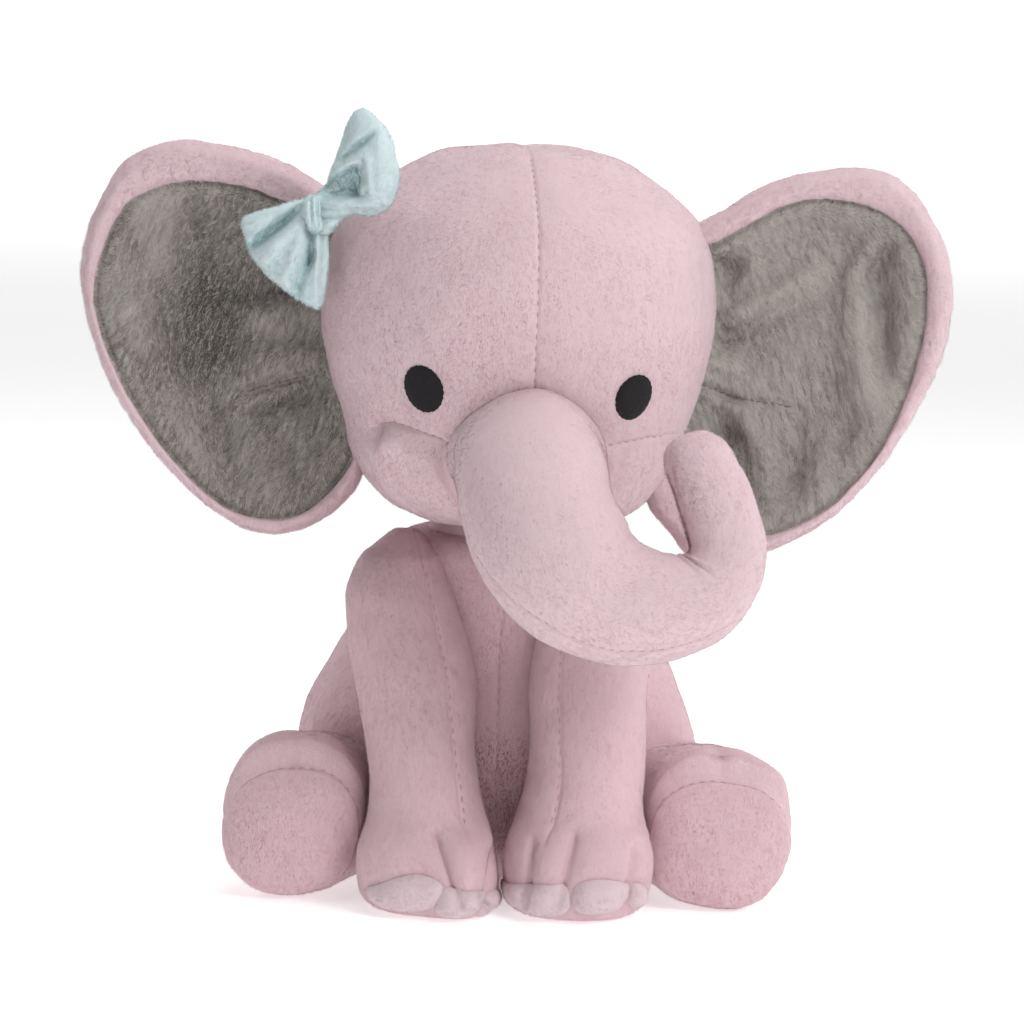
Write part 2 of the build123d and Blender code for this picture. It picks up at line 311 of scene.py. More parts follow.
class Surface:
    """A grid of points with its normals, cut up into named panels and covered in pile.

    Where it is closed, its last column joins its first."""

    def __init__(self, p, closed=True):
        self.p, self.closed = p, closed
        self.n = normals_of(p, closed)
        # random patches of tone where the pile lies differently, from -1, darker, to 1, lighter; parts add painted
        # light and painted shade to it
        self.nap = 0.6 * noise(p, 24, 301) + 0.45 * noise(p, 10, 302)

    def push(self, amount):
        """Moves every point out along its normal, and works the normals out again."""
        self.p = self.p + self.n * amount[..., None]
        self.n = normals_of(self.p, self.closed)

    def cells(self):
        rows, cols = self.p.shape[:2]
        i = np.arange(rows - 1)[:, None]
        j = np.arange(cols if self.closed else cols - 1)[None]
        k = (j + 1) % cols
        return np.stack([i * cols + j, i * cols + k, (i + 1) * cols + k, (i + 1) * cols + j], axis=-1)

    def whole(self):
        return np.ones(self.cells().shape[:2], bool)

    def at_cells(self, values):
        """The mean of a field over each cell's corners."""
        return np.broadcast_to(values, self.p.shape[:2]).ravel()[self.cells()].mean(axis=2)


def lumps(p, big=0.5, pile=0.12, seed=0):
    """The unevenness of filling under fabric, and of the pile itself."""
    return (big * noise(p, 19, seed) + 0.5 * big * noise(p, 9, seed + 1)
            + pile * noise(p, 3.6, seed + 2) + 0.5 * pile * noise(p, 1.7, seed + 3))


def groove(distance, p, deep=1.0, seed=40):
    """A sewn seam: the fabric dips towards it, puckers beside it and turns in."""
    pucker = 0.22 * noise(p, 4.2, seed) * bell(distance, 5)
    return -deep * (0.7 * bell(distance, 3.0) + 0.95 * bell(distance, 0.62)) + pucker


GRAIN_DOWN = (0, 0.12, -1.0)


def attach(thing, mover):
    """Puts a piece on its body, or, where it spans a joint, bakes its place into its mesh."""
    if mover[0] == "ride":
        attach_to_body(thing, mover[1])
    else:
        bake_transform(thing)


def panel(name, surface, keep, material, mover, nodes=()):
    """One sewn panel: the cells that keep picks, standing for its CAD nodes, or for the one with its name."""
    cells = surface.cells()[keep]
    used, index = np.unique(cells, return_inverse=True)
    thing = mesh_object(name, surface.p.reshape(-1, 3)[used], index.reshape(cells.shape), [material],
                        nap=surface.nap.reshape(-1)[used])
    attach(thing, mover)
    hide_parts(*(nodes or [name]))


def streaks(p, axis, across, stretch, seed):
    """Noise drawn out along an axis."""
    axis = unit(np.array(axis, float))
    q = p - axis * ((p @ axis)[..., None] * (1 - 1 / stretch))
    return noise(q, across, seed)


def pile(name, surface, keep, shades, mover, density=4.0, length=1.25, width=0.2, lean=1.0, flow=GRAIN_DOWN,
         wander=0.55, clump=1.1, stretch=2.5, axis=(0.1, 0, -1), rough=0.25, contrast=0.7, weight=None, seed=0):
    """Short fibres standing out of a surface, leaning the way its pile lies, in small drawn-out clumps.

    density is in fibres per square mm, length, width and clump in mm. lean says how far they lie over along flow,
    wander how much that way drifts, rough how unevenly they catch the light, and contrast how much their shades
    differ. They cast no shadow, because at this size their shadows show as dark specks."""
    rng = np.random.default_rng(1000 + seed)
    cells = surface.cells()[keep]
    corners = surface.p.reshape(-1, 3)[cells]
    tips = surface.n.reshape(-1, 3)[cells]
    area = 0.5 * np.linalg.norm(np.cross(corners[:, 2] - corners[:, 0], corners[:, 3] - corners[:, 1]), axis=1)
    chance = area if weight is None else area * surface.at_cells(weight)[keep]
    count = int(chance.sum() * density)
    pick = np.searchsorted(np.cumsum(chance) / chance.sum(), rng.random(count)).clip(0, len(area) - 1)
    u, v = rng.random((count, 1)), rng.random((count, 1))

    def blend_corners(q):
        q = q[pick]
        return (q[:, 0] * (1 - u) * (1 - v) + q[:, 1] * (1 - u) * v + q[:, 2] * u * v + q[:, 3] * u * (1 - v))

    root, normal = blend_corners(corners), unit(blend_corners(tips))
    nap = blend_corners(surface.nap.reshape(-1, 1)[cells])[:, 0]
    drift = xyz(noise(root, 11, seed + 5), noise(root, 13, seed + 6), 0.6 * noise(root, 12, seed + 7))
    swirl = np.stack([streaks(root, axis, clump, stretch, seed + 8 + k) for k in range(3)], -1)
    way = np.array(flow) if np.ndim(flow) == 1 else blend_corners(flow.reshape(-1, 3)[cells])
    way = way + wander * drift + 0.5 * swirl + 0.25 * rng.normal(size=root.shape)
    way = unit(way - normal * (way * normal).sum(-1, keepdims=True))
    direction = unit(normal * (0.6 + 0.25 * swirl[:, :1]) + way * lean)
    side = unit(np.cross(direction, normal + 0.2 * rng.normal(size=root.shape)))
    long = length * (0.7 + 0.5 * rng.random((count, 1)) + 0.15 * swirl[:, 1:2])
    base = root - normal * 0.12
    half = side * width / 2
    facing = (np.cross(half, direction) * normal).sum(-1, keepdims=True)
    half = half * np.where(facing < 0, -1, 1)
    points = np.stack([base - half, base + half, base + direction * long], axis=1).reshape(-1, 3)
    streak = streaks(root, axis, clump, stretch, seed + 12)
    # each fibre's shade follows the painted light and painted shade in the surface's field, with random streaks
    shade = 0.9 * nap + contrast * streak + 0.5 * contrast * rng.normal(size=count)
    slots = np.clip(((0.5 + 0.5 * np.tanh(shade)) * len(shades)).astype(int), 0, len(shades) - 1)
    tilt = unit(normal + rough * (swirl + 0.5 * rng.normal(size=root.shape)) + 0.12 * way)
    thing = mesh_object(name, points, np.arange(count * 3).reshape(-1, 3), shades, slots, smooth=True,
                        shading=np.repeat(tilt, 3, axis=0))
    thing.visible_shadow = False
    attach(thing, mover)
    return thing


def stitches(name, path, outward, mover, material, long=2.1, gap=1.1, wide=0.34, lift=0.1):
    """A row of short stitches along a path of points that lie on the fabric, with all sizes in mm."""
    s = distances(path)
    starts = np.arange(0.5, s[-1] - long, long + gap)
    points, faces = [], []
    for start in starts:
        spine = np.stack([np.interp(start + np.linspace(0, long, 5), s, path[:, k]) for k in range(3)], 1)
        out = unit(np.stack([np.interp(start + long / 2, s, outward[:, k]) for k in range(3)]))
        along = unit(spine[-1] - spine[0])
        across = unit(np.cross(along, out))
        arch = np.array([-0.25, 0.12, 0.2, 0.12, -0.25]) + lift
        thick = np.array([0.5, 0.9, 1.0, 0.9, 0.5]) * wide / 2
        for k in range(5):
            for angle in circle(6):
                points.append(spine[k] + out * (arch[k] + math.sin(angle) * thick[k] * 0.8)
                              + across * math.cos(angle) * thick[k])
        base = len(points) - 30
        for k in range(4):
            for m in range(6):
                a, b = base + k * 6 + m, base + k * 6 + (m + 1) % 6
                faces.append((a, b, b + 6, a + 6))
    thing = mesh_object(name, np.array(points), np.array(faces), [material])
    attach(thing, mover)
    return thing


# ---------------------------------------------------------------- head

HEAD_SHAPE = [  # radius and height of the head's outline, from the crown to the chin
    (0, 221.6), (12, 221), (27, 218.2), (38.5, 212), (47, 206), (52.5, 200.5), (56, 193.5), (57.6, 186),
    (58.3, 177), (57.8, 166), (55.4, 154.5), (51.8, 142), (48.6, 131.5), (45.4, 125), (39, 117.4), (30, 112.5),
    (18, 110.2), (0, 109.5),
]
ROOT_RING = [  # where the trunk is sewn on: angle round the head and height
    (5.4, 153.6), (12.4, 152.3), (21.2, 147.3), (28.4, 141.2), (32.4, 135.5), (34.5, 127), (32, 118.5),
    (20, 113.5), (4, 112), (-12, 114), (-21, 120), (-24.5, 128), (-24.0, 133), (-22.4, 137.2), (-18.4, 142),
    (-10.6, 147.2), (-3.3, 151.3),
]


HEAD_TABLE = curve(HEAD_SHAPE, 600)[::-1]
RING = curve(ROOT_RING, 220, closed=True)


def on_head(angle, z, out=0.0):
    """The point on the head's surface at an angle round from the front and a height."""
    return around(np.interp(z, HEAD_TABLE[:, 1], HEAD_TABLE[:, 0]) + out, np.radians(angle), HEAD_Y, z)


def ring_distance(angle, z):
    """Distance on the head's surface from the trunk's seam, negative inside it."""
    flat = np.stack([RING[:, 0] * 0.95, RING[:, 1]], axis=1)
    here = np.stack([angle * 0.95, z], axis=-1).reshape(-1, 2)
    best = np.full(len(here), 1e9)
    for point in flat:
        best = np.minimum(best, ((here - point) ** 2).sum(axis=1))
    middle = flat.mean(axis=0)
    turn = np.arctan2(here[:, 1] - middle[1], here[:, 0] - middle[0])
    ring_turn = np.arctan2(flat[:, 1] - middle[1], flat[:, 0] - middle[0])
    order = np.argsort(ring_turn)
    reach = np.interp(turn, ring_turn[order], np.linalg.norm(flat - middle, axis=1)[order], period=2 * np.pi)
    inside = np.linalg.norm(here - middle, axis=1) < reach
    return (np.sqrt(best) * np.where(inside, -1, 1)).reshape(angle.shape)


def cheek_seam(angle):
    """Height of the seam between forehead and cheek, which droops towards the trunk."""
    left = np.interp(angle, [-90, -60, -52, -44, -34.8, -27.7, -21.4, 0],
                     [137, 139, 139.8, 141.8, 139.8, 138.3, 136.6, 136])
    right = np.interp(angle, [0, 32.2, 41, 50.6, 90], [136, 136.7, 137.9, 139.0, 139.0])
    return np.where(angle < 0, left, right)


def make_head():
    """A turned shape, with seams, cheeks and eye sockets pressed into it."""
    angles = spread(-180, 180, 0.82, [-90.0, FACE_TURN, 90.0], 0.3, 2.2)[:-1]
    profile = curve(HEAD_SHAPE, 1200)
    length = distances(profile)
    cheek_rows = [length[np.argmin(abs(profile[:, 1] - z) + (profile[:, 0] < 30) * 100)] for z in (137, 140)]
    r, z = sample(profile, length, spread(0, length[-1], 0.85, cheek_rows, 0.4, 3.0))
    a = angles[None] + 0 * r
    rad = np.radians(a)
    p = around(r, rad, HEAD_Y, z)
    head = Surface(p)
    arc = np.radians(1) * r

    front = smoothstep(96 - abs(a), 0, 10)
    cheek_d = z - cheek_seam(a)
    ring_d = ring_distance(a, z + 0 * a)
    outside = smoothstep(ring_d, -1, 2)
    centre_d = (a - FACE_TURN) * arc
    side_d = abs(abs(a) - 90) * arc

    push = lumps(p, 0.75, 0.10, 3)
    push += groove(centre_d, p, 0.62, 41) * (z > 150) * (abs(a - FACE_TURN) < 60)
    push += groove(side_d, p, 0.8, 42)
    push += groove((180 - abs(a)) * arc, p, 0.8, 43) * (abs(a) > 120)
    strength = 0.65 + 0.6 * bell(a + 40, 12) + 0.15 * bell(a - 44, 10)
    fade = smoothstep(a, -57, -47) * smoothstep(-a, -96, -60)
    push += groove(cheek_d, p, 1.0, 44) * front * outside * strength * (0.15 + 0.85 * fade)
    push += groove(ring_d, p, 0.42, 45) * smoothstep(ring_d, -2.5, 0)
    # the cheeks swell below their seam, most of all at the pucker on the left
    below = smoothstep(-cheek_d, 0.0, 7.0) * smoothstep(cheek_d, -30, -6)
    push += 3.0 * below * bell(a + 40, 22) * outside
    push += 1.2 * below * bell(a - 44, 18) * outside
    push += 2.2 * bell(a + 43.5, 5) * bell(cheek_d + 4.0, 3.4) - 1.3 * bell(a + 50, 3) * bell(cheek_d + 1.5, 4.5)
    for angle, drop, wide, amount in ((-46, 9, 2.2, -0.5), (-37, 12, 2.5, -0.45), (-30, 10, 2.0, -0.35),
                                      (38, 10, 2.2, -0.4), (48, 12, 2.6, -0.35)):
        push += amount * bell(a - angle - 0.15 * (z - 130), wide) * bell(cheek_d + drop, 8)
    push += 0.4 * bell(a + 60, 7) * bell(z - 122, 6) - 0.6 * bell(a + 52, 4) * bell(z - 117, 6)
    push += 0.7 * bell(z - 195, 13) * bell(a - 52, 12) - 0.8 * bell(z - 208, 6) * bell(a - 40, 16)
    for eye_a, eye_z, *_ in EYES.values():
        reach = np.hypot((a - eye_a) * arc, z - eye_z)
        push += -0.35 * bell(reach - 7.0, 1.6) + 0.15 * bell(reach, 5)
    push *= np.clip(r / 6, 0, 1)
    head.push(push)
    # painted light: the head lighter towards its right side and darker on its left, as the light falls
    head.nap = head.nap + 0.6 * smoothstep(a, -25, 35) - 0.5

    mid_a = head.at_cells(a)
    mid_a[:, -1] = 179.5    # the last column closes the ring
    above = head.at_cells(cheek_d) > 0
    covered = head.at_cells(ring_d) < -5.5
    ahead = abs(mid_a) < 90
    ride = ("ride", "head")
    for name, half, own in (("left", mid_a < FACE_TURN, mid_a < 0), ("right", mid_a >= FACE_TURN, mid_a >= 0)):
        inside = ["head_stuffing"] if name == "left" else []
        panel("forehead_" + name, head, ahead & above & half, PINK, ride, ["forehead_" + name] + inside)
        panel("cheek_" + name, head, ahead & ~above & half & ~covered, PINK, ride)
        panel("head_back_" + name, head, ~ahead & own, PINK, ride)

    # the nap lies down and away from the middle of the face
    flow = xyz(0.35 * np.sin(rad), 0.2, -1.0)
    flow = flow * smoothstep(222 - z, 0, 12)[..., None] + 0.02
    thin = np.minimum(np.minimum(abs(centre_d) + 30 * (z < 150), side_d), abs(ring_d))
    thin = np.minimum(thin, np.where(front > 0.5, abs(cheek_d) + 20 * (1 - fade), 9))
    for eye_a, eye_z, *_ in EYES.values():
        inside_eye = np.hypot((a - eye_a) * arc / 5.2, (z - eye_z) / 5.9) < 1
        thin = np.where(inside_eye, -1, thin)
    weight = smoothstep(thin, -0.1, 1.0) * (0.25 + 0.75 * smoothstep(thin, 0.3, 1.5)) * (ring_d > -3)
    pile("pile_face", head, ahead & ~covered, PINK_PILE, ride, 5.0, 1.15, 0.17, 1.25, flow,
         weight=weight, seed=1)
    pile("pile_head_back", head, ~ahead, PINK_PILE, ride, 4.0, 1.2, 0.2, 1.2, flow, seed=2)

    def sew(name, heights, around_at, *size):
        """Stitches over the finished surface's points nearest to given heights and angles."""
        spots = [(np.argmin(abs(z[:, 0] - height)), np.argmin(abs(angles - at)))
                 for height, at in zip(heights, around_at)]
        stitches(name, np.array([head.p[k] for k in spots]), np.array([head.n[k] for k in spots]), ride, THREAD, *size)

    sew("stitches_face", np.linspace(219, 154.5, 140), np.full(140, FACE_TURN), 1.9, 1.3, 0.26, 0.05)
    for name, start, end, count in (("left", -50, -23.5, 90), ("right", 33, 60, 80)):
        at = np.linspace(start, end, count)
        sew("stitches_cheek_" + name, cheek_seam(at), at, 1.9, 1.2, 0.26, 0.1)
    over = np.concatenate([RING[int(len(RING) * 0.78):], RING[:int(len(RING) * 0.30)]])
    sew("stitches_trunk_seam", over[:, 1], over[:, 0], 1.8, 1.3, 0.26, 0.25)
    make_eyes(head, z[:, 0])


def make_eyes(head, heights):
    """Embroidered ovals of black thread, worked straight onto the face."""
    for name, (eye_a, eye_z, wide, high, tilt) in EYES.items():
        turn = circle(120)[None]
        rho = np.concatenate([np.linspace(0, 0.9, 34), np.linspace(0.93, 1.0, 6), [1.03]])[:, None]
        ragged = 1 + 0.012 * np.sin(23 * turn) + 0.01 * np.sin(41 * turn + 1)
        u = rho * wide * np.cos(turn) * ragged
        v = rho * high * np.sin(turn) * ragged
        u, v = u * math.cos(tilt) - v * math.sin(tilt), u * math.sin(tilt) + v * math.cos(tilt)
        radius = float(np.interp(eye_z, heights[::-1], np.hypot(head.p[::-1, 0, 0], head.p[::-1, 0, 1] - HEAD_Y)))
        z = eye_z + v
        p = on_head(eye_a + np.degrees(u / radius), z)
        thread = 0.10 * np.abs(np.sin((u * 0.25 + v) * math.pi / 0.62)) + 0.05 * noise(p, 0.8, 9)
        dome = 0.62 * np.clip(1 - rho ** 6, 0, 1) + 0.25 * (1 - rho ** 2)
        drop = np.where(rho > 1.0, -1.0, 0.12)
        eye = Surface(p)
        outward = unit(p - np.array([0, HEAD_Y, 0]) - np.array([0, 0, 1]) * (z[..., None] - 6))
        eye.p = eye.p + outward * (dome + thread * (rho < 0.99) + drop)[..., None]
        eye.n = normals_of(eye.p, True)
        panel("eye_" + name, eye, eye.whole(), BLACK, ("ride", "head"))


# ---------------------------------------------------------------- trunk

TRUNK_PATH = [  # centre and radius, from inside the face to the tip
    (4.2, -55, 137.5, 22.2), (5.0, -68, 132.5, 21.6), (6.0, -79, 126.4, 21.4), (8.7, -84.5, 117.5, 21.6),
    (12.8, -87.5, 110.2, 21.5), (19.4, -89.2, 102.8, 20.4), (27.2, -90, 98.3, 18.6), (34.8, -90.6, 96.4, 17.1),
    (42.8, -90.6, 96.2, 15.6), (49.8, -89.8, 98.0, 14.1), (55.4, -88.8, 101.3, 12.9), (59.0, -87.6, 106.3, 11.9),
    (60.2, -86.2, 111.8, 11.4), (59.0, -84.8, 117.9, 11.2), (56.0, -82.2, 126.3, 11.0), (52.4, -79.6, 134.4, 10.3),
]
TRUNK_END = [(50.6, -78.2, 138.4, 9.4), (49.6, -77.4, 141.2, 7.6), (49.0, -77.0, 143.0, 4.6), (48.8, -76.8, 143.6, 0.0)]
FOLD_AT = 10.35     # station numbers along TRUNK_PATH: the tip's fold, and where the root's skin ends
SPLIT_AT = 5.6
ROOT_REACH = 30.0   # over which the trunk goes from its seam's outline to its own round section
UNDER_SEAM, INNER_SEAM = 46.0, -112.0   # the two seams' columns, in degrees


def make_trunk():
    """A tube along a bent path, blended into the outline of its seam on the face."""
    dense = curve(TRUNK_PATH + TRUNK_END, 2400)
    stations = np.array(TRUNK_PATH)
    length = distances(dense[:, :3])
    station_s = np.array([length[np.argmin(np.linalg.norm(dense[:, :3] - s[:3], axis=1))] for s in stations])

    def at(station):
        return float(np.interp(station, np.arange(len(stations)), station_s))

    fold_s, split_s = at(FOLD_AT), at(SPLIT_AT)
    rows = spread(0, length[-1], 0.72, [split_s, fold_s], 0.5, 2)
    samples = np.hstack(sample(dense, length, rows))
    c, r = samples[:, :3], samples[:, 3]
    t = unit(np.gradient(c, axis=0))
    for _ in range(12):
        t[1:-1] = unit(0.25 * t[:-2] + 0.5 * t[1:-1] + 0.25 * t[2:])
    ahead = np.array([0, -1.0, 0])
    n1 = unit(ahead - t * (t @ ahead)[:, None])
    n2 = np.cross(t, n1)
    under_at = np.interp(rows, [at(0), at(2.5), at(3.5), at(5), at(8), at(9.5), at(10.5), at(12), at(16)],
                         [112, 92, 66, 47, 46, 55, 80, 100, 112])
    inner_at = np.interp(rows, [at(0), at(6), at(9), at(10), at(11), at(13), at(15)],
                         [-120, -118, -112, -98, -80, -70, -62])
    # columns are angles round the trunk, bent so that both seams fall on grid lines
    base = np.radians(spread(-180, 180, 2.6, [UNDER_SEAM, INNER_SEAM], 0.8, 3.5)[:-1])
    base_deg = np.degrees(base)
    phi = np.radians([np.interp(base_deg, [-180, INNER_SEAM, UNDER_SEAM, 180], [-180, inner, under, 180])
                      for inner, under in zip(inner_at, under_at)])
    p = c[:, None] + r[:, None, None] * (np.cos(phi)[..., None] * n1[:, None]
                                         + np.sin(phi)[..., None] * n2[:, None])

    # the root starts on the seam round it and swells out of the face
    ring_points = on_head(RING[:, 0], RING[:, 1], -1.3)
    centre = ring_points.mean(axis=0)
    ring_turn = np.arctan2((ring_points - centre) @ n2[0], (ring_points - centre) @ n1[0])
    order = np.argsort(ring_turn)
    root = np.stack([np.interp(phi[0], ring_turn[order], column, period=2 * np.pi)
                     for column in ring_points[order].T], axis=1)
    w = 1 - (1 - np.clip(rows / ROOT_REACH, 0, 1)[:, None, None]) ** 1.45
    p = root[None] * (1 - w) + p * w
    trunk = Surface(p)

    s = rows[:, None] + 0 * phi
    arc = np.maximum(r, 3)[:, None]
    under_d = (phi - np.radians(under_at)[:, None]) * arc
    inner_d = (phi - np.radians(inner_at)[:, None]) * arc
    push = lumps(p, 0.5, 0.10, 60)
    shown = smoothstep(s, at(2.6), at(4))
    push += groove(under_d, p, 0.72, 61) * shown
    push += groove(inner_d, p, 0.75, 62) * smoothstep(s, at(6), at(9))
    # folds pinched on the inside of the bend
    phi_deg = np.degrees(phi)
    inner_side = bell(phi_deg + 62, 42)
    for offset, amount in ((-4.6, -0.9), (-2.7, 0.35), (-0.9, -1.3), (1.1, 0.55), (3.2, -0.8), (6.0, -0.5)):
        bend = s - fold_s - offset - 0.02 * (phi_deg + 60)
        push += amount * bell(bend, 1.0 + 0.12 * abs(offset)) * inner_side
    hollow = (bell(phi_deg + 96, 26) * smoothstep(s, at(11), at(12.5))
              * smoothstep(-s, -length[-1] + 4, -at(14.6)))
    push += -1.0 * hollow
    push += 0.5 * noise(p, 7, 66) * hollow
    push *= smoothstep(s, 0, 3) * smoothstep(length[-1] - s, 0.0, 3.0)
    trunk.push(push)

    mid_phi, mid_s = trunk.at_cells(np.tile(base_deg, (len(rows), 1))), trunk.at_cells(s)
    mid_phi[:, -1] = 179
    top = (mid_phi > INNER_SEAM) & (mid_phi < UNDER_SEAM)
    root_side, bend_side, tip_side = mid_s < split_s, (mid_s >= split_s) & (mid_s < fold_s), mid_s >= fold_s
    sway = ("blend", "head", "trunk", (4.5, -60, 137.5), (5.6, -77, 128.5))
    fold_i = np.argmin(abs(rows - fold_s))
    fold_way, fold_c = t[fold_i], c[fold_i]
    curl = ("blend", "trunk", "trunk_tip", tuple(fold_c - fold_way * 9), tuple(fold_c + fold_way * 7))
    panel("trunk_top_panel", trunk, top & root_side, PINK, sway, ["trunk_top_panel", "trunk_stuffing"])
    panel("trunk_under_panel", trunk, ~top & root_side, PINK, sway)
    panel("trunk_top_panel_bend", trunk, top & bend_side, PINK, curl, ["trunk_top_panel"])
    panel("trunk_under_panel_bend", trunk, ~top & bend_side, PINK, curl, ["trunk_under_panel"])
    panel("trunk_tip_outer_panel", trunk, top & tip_side, PINK, curl,
          ["trunk_tip_outer_panel", "trunk_tip_stuffing"])
    panel("trunk_tip_inner_panel", trunk, ~top & tip_side, PINK, curl)

    flow = np.broadcast_to(t[:, None], p.shape) * 0.9 + np.array([0, 0, -0.35])
    nearest = np.minimum(np.where(shown > 0.5, abs(under_d), 9), np.where(s > at(7), abs(inner_d), 9))
    weight = 0.15 + 0.85 * smoothstep(nearest, 0.2, 1.4)
    weight = weight * smoothstep(s, 0.3, 1.4)
    pile("pile_trunk_root", trunk, root_side, PINK_PILE, sway, 5.0, 1.1, 0.17, 1.35, flow, weight=weight, seed=20)
    pile("pile_trunk_bend", trunk, ~root_side, PINK_PILE, curl, 5.0, 1.15, 0.17, 1.3, flow, weight=weight, seed=21)
    # painted shade: darker fibres in the tip's hollow
    fuzzy = weight * smoothstep(hollow, 0.15, 0.6) + 1e-6
    pile("pile_trunk_hollow", trunk, tip_side & ~top, SHADED_HOLLOW_PILE, curl, 4.5, 1.9, 0.2, 0.9, flow, weight=fuzzy,
         seed=22)
    first, split, last = (np.argmin(abs(rows - place)) for place in (at(3.2), split_s, at(9.8)))
    seam = np.argmin(abs(base_deg - UNDER_SEAM))
    for name, part, mover in (("root", slice(first, split), sway), ("bend", slice(split, last), curl)):
        stitches("stitches_trunk_" + name, trunk.p[part, seam], trunk.n[part, seam], mover, THREAD, 1.7, 1.1, 0.26, 0.1)


# ---------------------------------------------------------------- ears

def polar_outline(points, centre, turns):
    """Distance from the centre to a closed outline of (x, z) points at each angle."""
    ring = curve(points, 900, closed=True) - np.array(centre)
    turn = np.arctan2(ring[:, 1], ring[:, 0])
    order = np.argsort(turn)
    return np.interp(turns, turn[order], np.linalg.norm(ring, axis=1)[order], period=2 * np.pi)


EARS = {  # folds: from, to, width, height; shades: the same for patches of painted light and painted shade on the lining; tone: the lining's overall painted lightness
    "left": {
        "centre": (-84, 163),
        "outline": [(-60, 208.7), (-70.8, 214.6), (-83.2, 218.3), (-97, 219.9), (-107.1, 218.5), (-114.9, 215),
                    (-119.4, 210.4), (-123.5, 203), (-127.2, 194.4), (-129, 184.6), (-129, 177.5), (-126.9, 167),
                    (-123.5, 156.4), (-118.3, 145), (-113.3, 137.1), (-106, 127.4), (-95.6, 116.6), (-86.6, 110.0),
                    (-78.8, 106), (-71.2, 104.8), (-62.8, 106.5), (-55.8, 109.8), (-49.7, 114.9), (-45.4, 121.3),
                    (-43, 132), (-42.5, 150), (-42.5, 170), (-43, 190), (-49, 203)],
        "lining": [(-58, 200.3), (-65, 201.2), (-72.1, 203.2), (-79.3, 205.9), (-89, 207.5), (-97.8, 207.4),
                   (-106.6, 205.4), (-114.5, 201), (-118.8, 194.7), (-122.1, 185.8), (-123.7, 176.9),
                   (-123.2, 167.2), (-120.7, 158.4), (-116, 147.9), (-110.5, 137.4), (-103.2, 126.9), (-95, 119.1),
                   (-86, 114.1), (-77.1, 110.9), (-68.2, 110.4), (-61.1, 113.2), (-54.2, 119.5), (-49, 126.8),
                   (-46.4, 135), (-45, 150), (-45, 170), (-45, 188), (-50, 198)],
        "shades": [((-92, 178), (-88, 156), 13, -0.75), ((-112, 200), (-100, 204), 12, 0.8),
                   ((-119, 182), (-116, 166), 6, 0.45), ((-66, 190), (-66, 180), 9, -0.4),
                   ((-78, 167), (-66, 164), 4, 0.5), ((-104, 140), (-96, 126), 9, 0.15)],
        "tone": 0.0,
        "folds": [((-60, 152.5), (-80, 146.5), 1.3, -1.3), ((-57, 149), (-76, 141), 3.2, -1.2),
                  ((-60, 158), (-78, 156), 4.5, 1.7), ((-58, 172), (-86, 170), 6.0, 1.3),
                  ((-58, 182), (-78, 176), 4.0, -1.7), ((-100, 198), (-86, 168), 6.5, -1.8),
                  ((-90, 163), (-98, 150), 8.5, -1.6), ((-114, 174), (-109, 158), 5.5, 1.9),
                  ((-118, 158), (-108, 148), 3.0, -1.1), ((-104, 188), (-112, 180), 5.0, 1.2),
                  ((-80, 132), (-70, 119), 6.0, 1.3), ((-100, 138), (-92, 124), 4.5, 1.2),
                  ((-92, 146), (-84, 122), 4.0, -1.0), ((-66, 140), (-58, 126), 4.0, 1.0),
                  ((-72, 192), (-62, 186), 4.0, -1.6)],
    },
    "right": {
        "centre": (84, 161),
        "outline": [(55.3, 202.2), (63.7, 207.4), (73.5, 212.7), (84, 216.2), (96.2, 218.1), (105.4, 217.5),
                    (110.5, 215.3), (115.6, 211), (120.9, 203.5), (124.5, 196.3), (127.2, 186.5), (127.6, 177.5),
                    (126.3, 167.4), (122.6, 155.7), (116.7, 143.1), (110.4, 132.3), (102.5, 122.5), (93.6, 113.8),
                    (84.6, 107.9), (74.7, 103.2), (64, 100.5), (56.1, 100.5), (51, 102.9), (47.6, 107.1), (43.9, 111.5),
                    (40.2, 116), (38, 124), (39, 136),
                    (42.5, 150), (42.5, 170), (43, 188), (48, 197)],
        "lining": [(57, 193.8), (62, 196.6), (68, 200.2), (76, 204.9), (85.9, 207.6), (95.9, 207.2), (104.8, 204.8),
                   (110.9, 201), (114.8, 196.1), (117.9, 189.7), (119, 180.6), (118.6, 170.6), (115.8, 158.1),
                   (111.5, 145.5), (105.2, 132.8), (97.3, 122.7), (89.3, 116), (81.1, 111.6), (73, 109.8),
                   (63, 112), (55, 117.5), (49.5, 125), (46.6, 135), (45, 150), (45, 170), (45, 184), (49, 191)],
        "shades": [((110, 188), (106, 145), 7, 0.6), ((62, 140), (64, 125), 8, -0.5), ((66, 170), (72, 162), 6, -0.4),
                   ((72, 178), (92, 182), 6, 0.5), ((100, 118), (88, 114), 8, 0.1)],
        "tone": 0.6,
        "folds": [((53, 153.4), (64.7, 148.9), 1.2, -1.3), ((64.7, 148.9), (83, 146.6), 1.3, -0.85),
                  ((54, 148), (64.2, 137.6), 3.4, -2.2), ((64.2, 137.6), (71, 118), 4.0, -1.5),
                  ((66, 146), (76, 128), 4.0, 1.2), ((57, 190), (64, 186), 4.5, -2.6),
                  ((62, 173), (86, 187), 4.0, 2.1), ((60, 167), (84, 178), 3.6, -1.2),
                  ((103.3, 197.5), (97, 186), 3.2, 1.3), ((108, 196), (103, 184), 3.4, -1.7),
                  ((98.5, 183), (101, 152), 5.4, 2.6), ((107.5, 184), (108, 160), 3.4, -2.2),
                  ((56, 176), (62, 166), 3.2, -1.6), ((55, 161), (66, 158), 3.0, 1.3),
                  ((84, 142), (80, 122), 4.4, -1.0), ((93, 140), (89, 122), 4.0, 1.1),
                  ((57, 143), (60, 128), 3.0, 1.3), ((99, 146), (94, 134), 3.6, -0.9)],
    },
}
EAR_MID_Y, EAR_HALF = -12.0, 5.3
EDGE_ROLL = 4.0     # radius of the ear's rounded edge
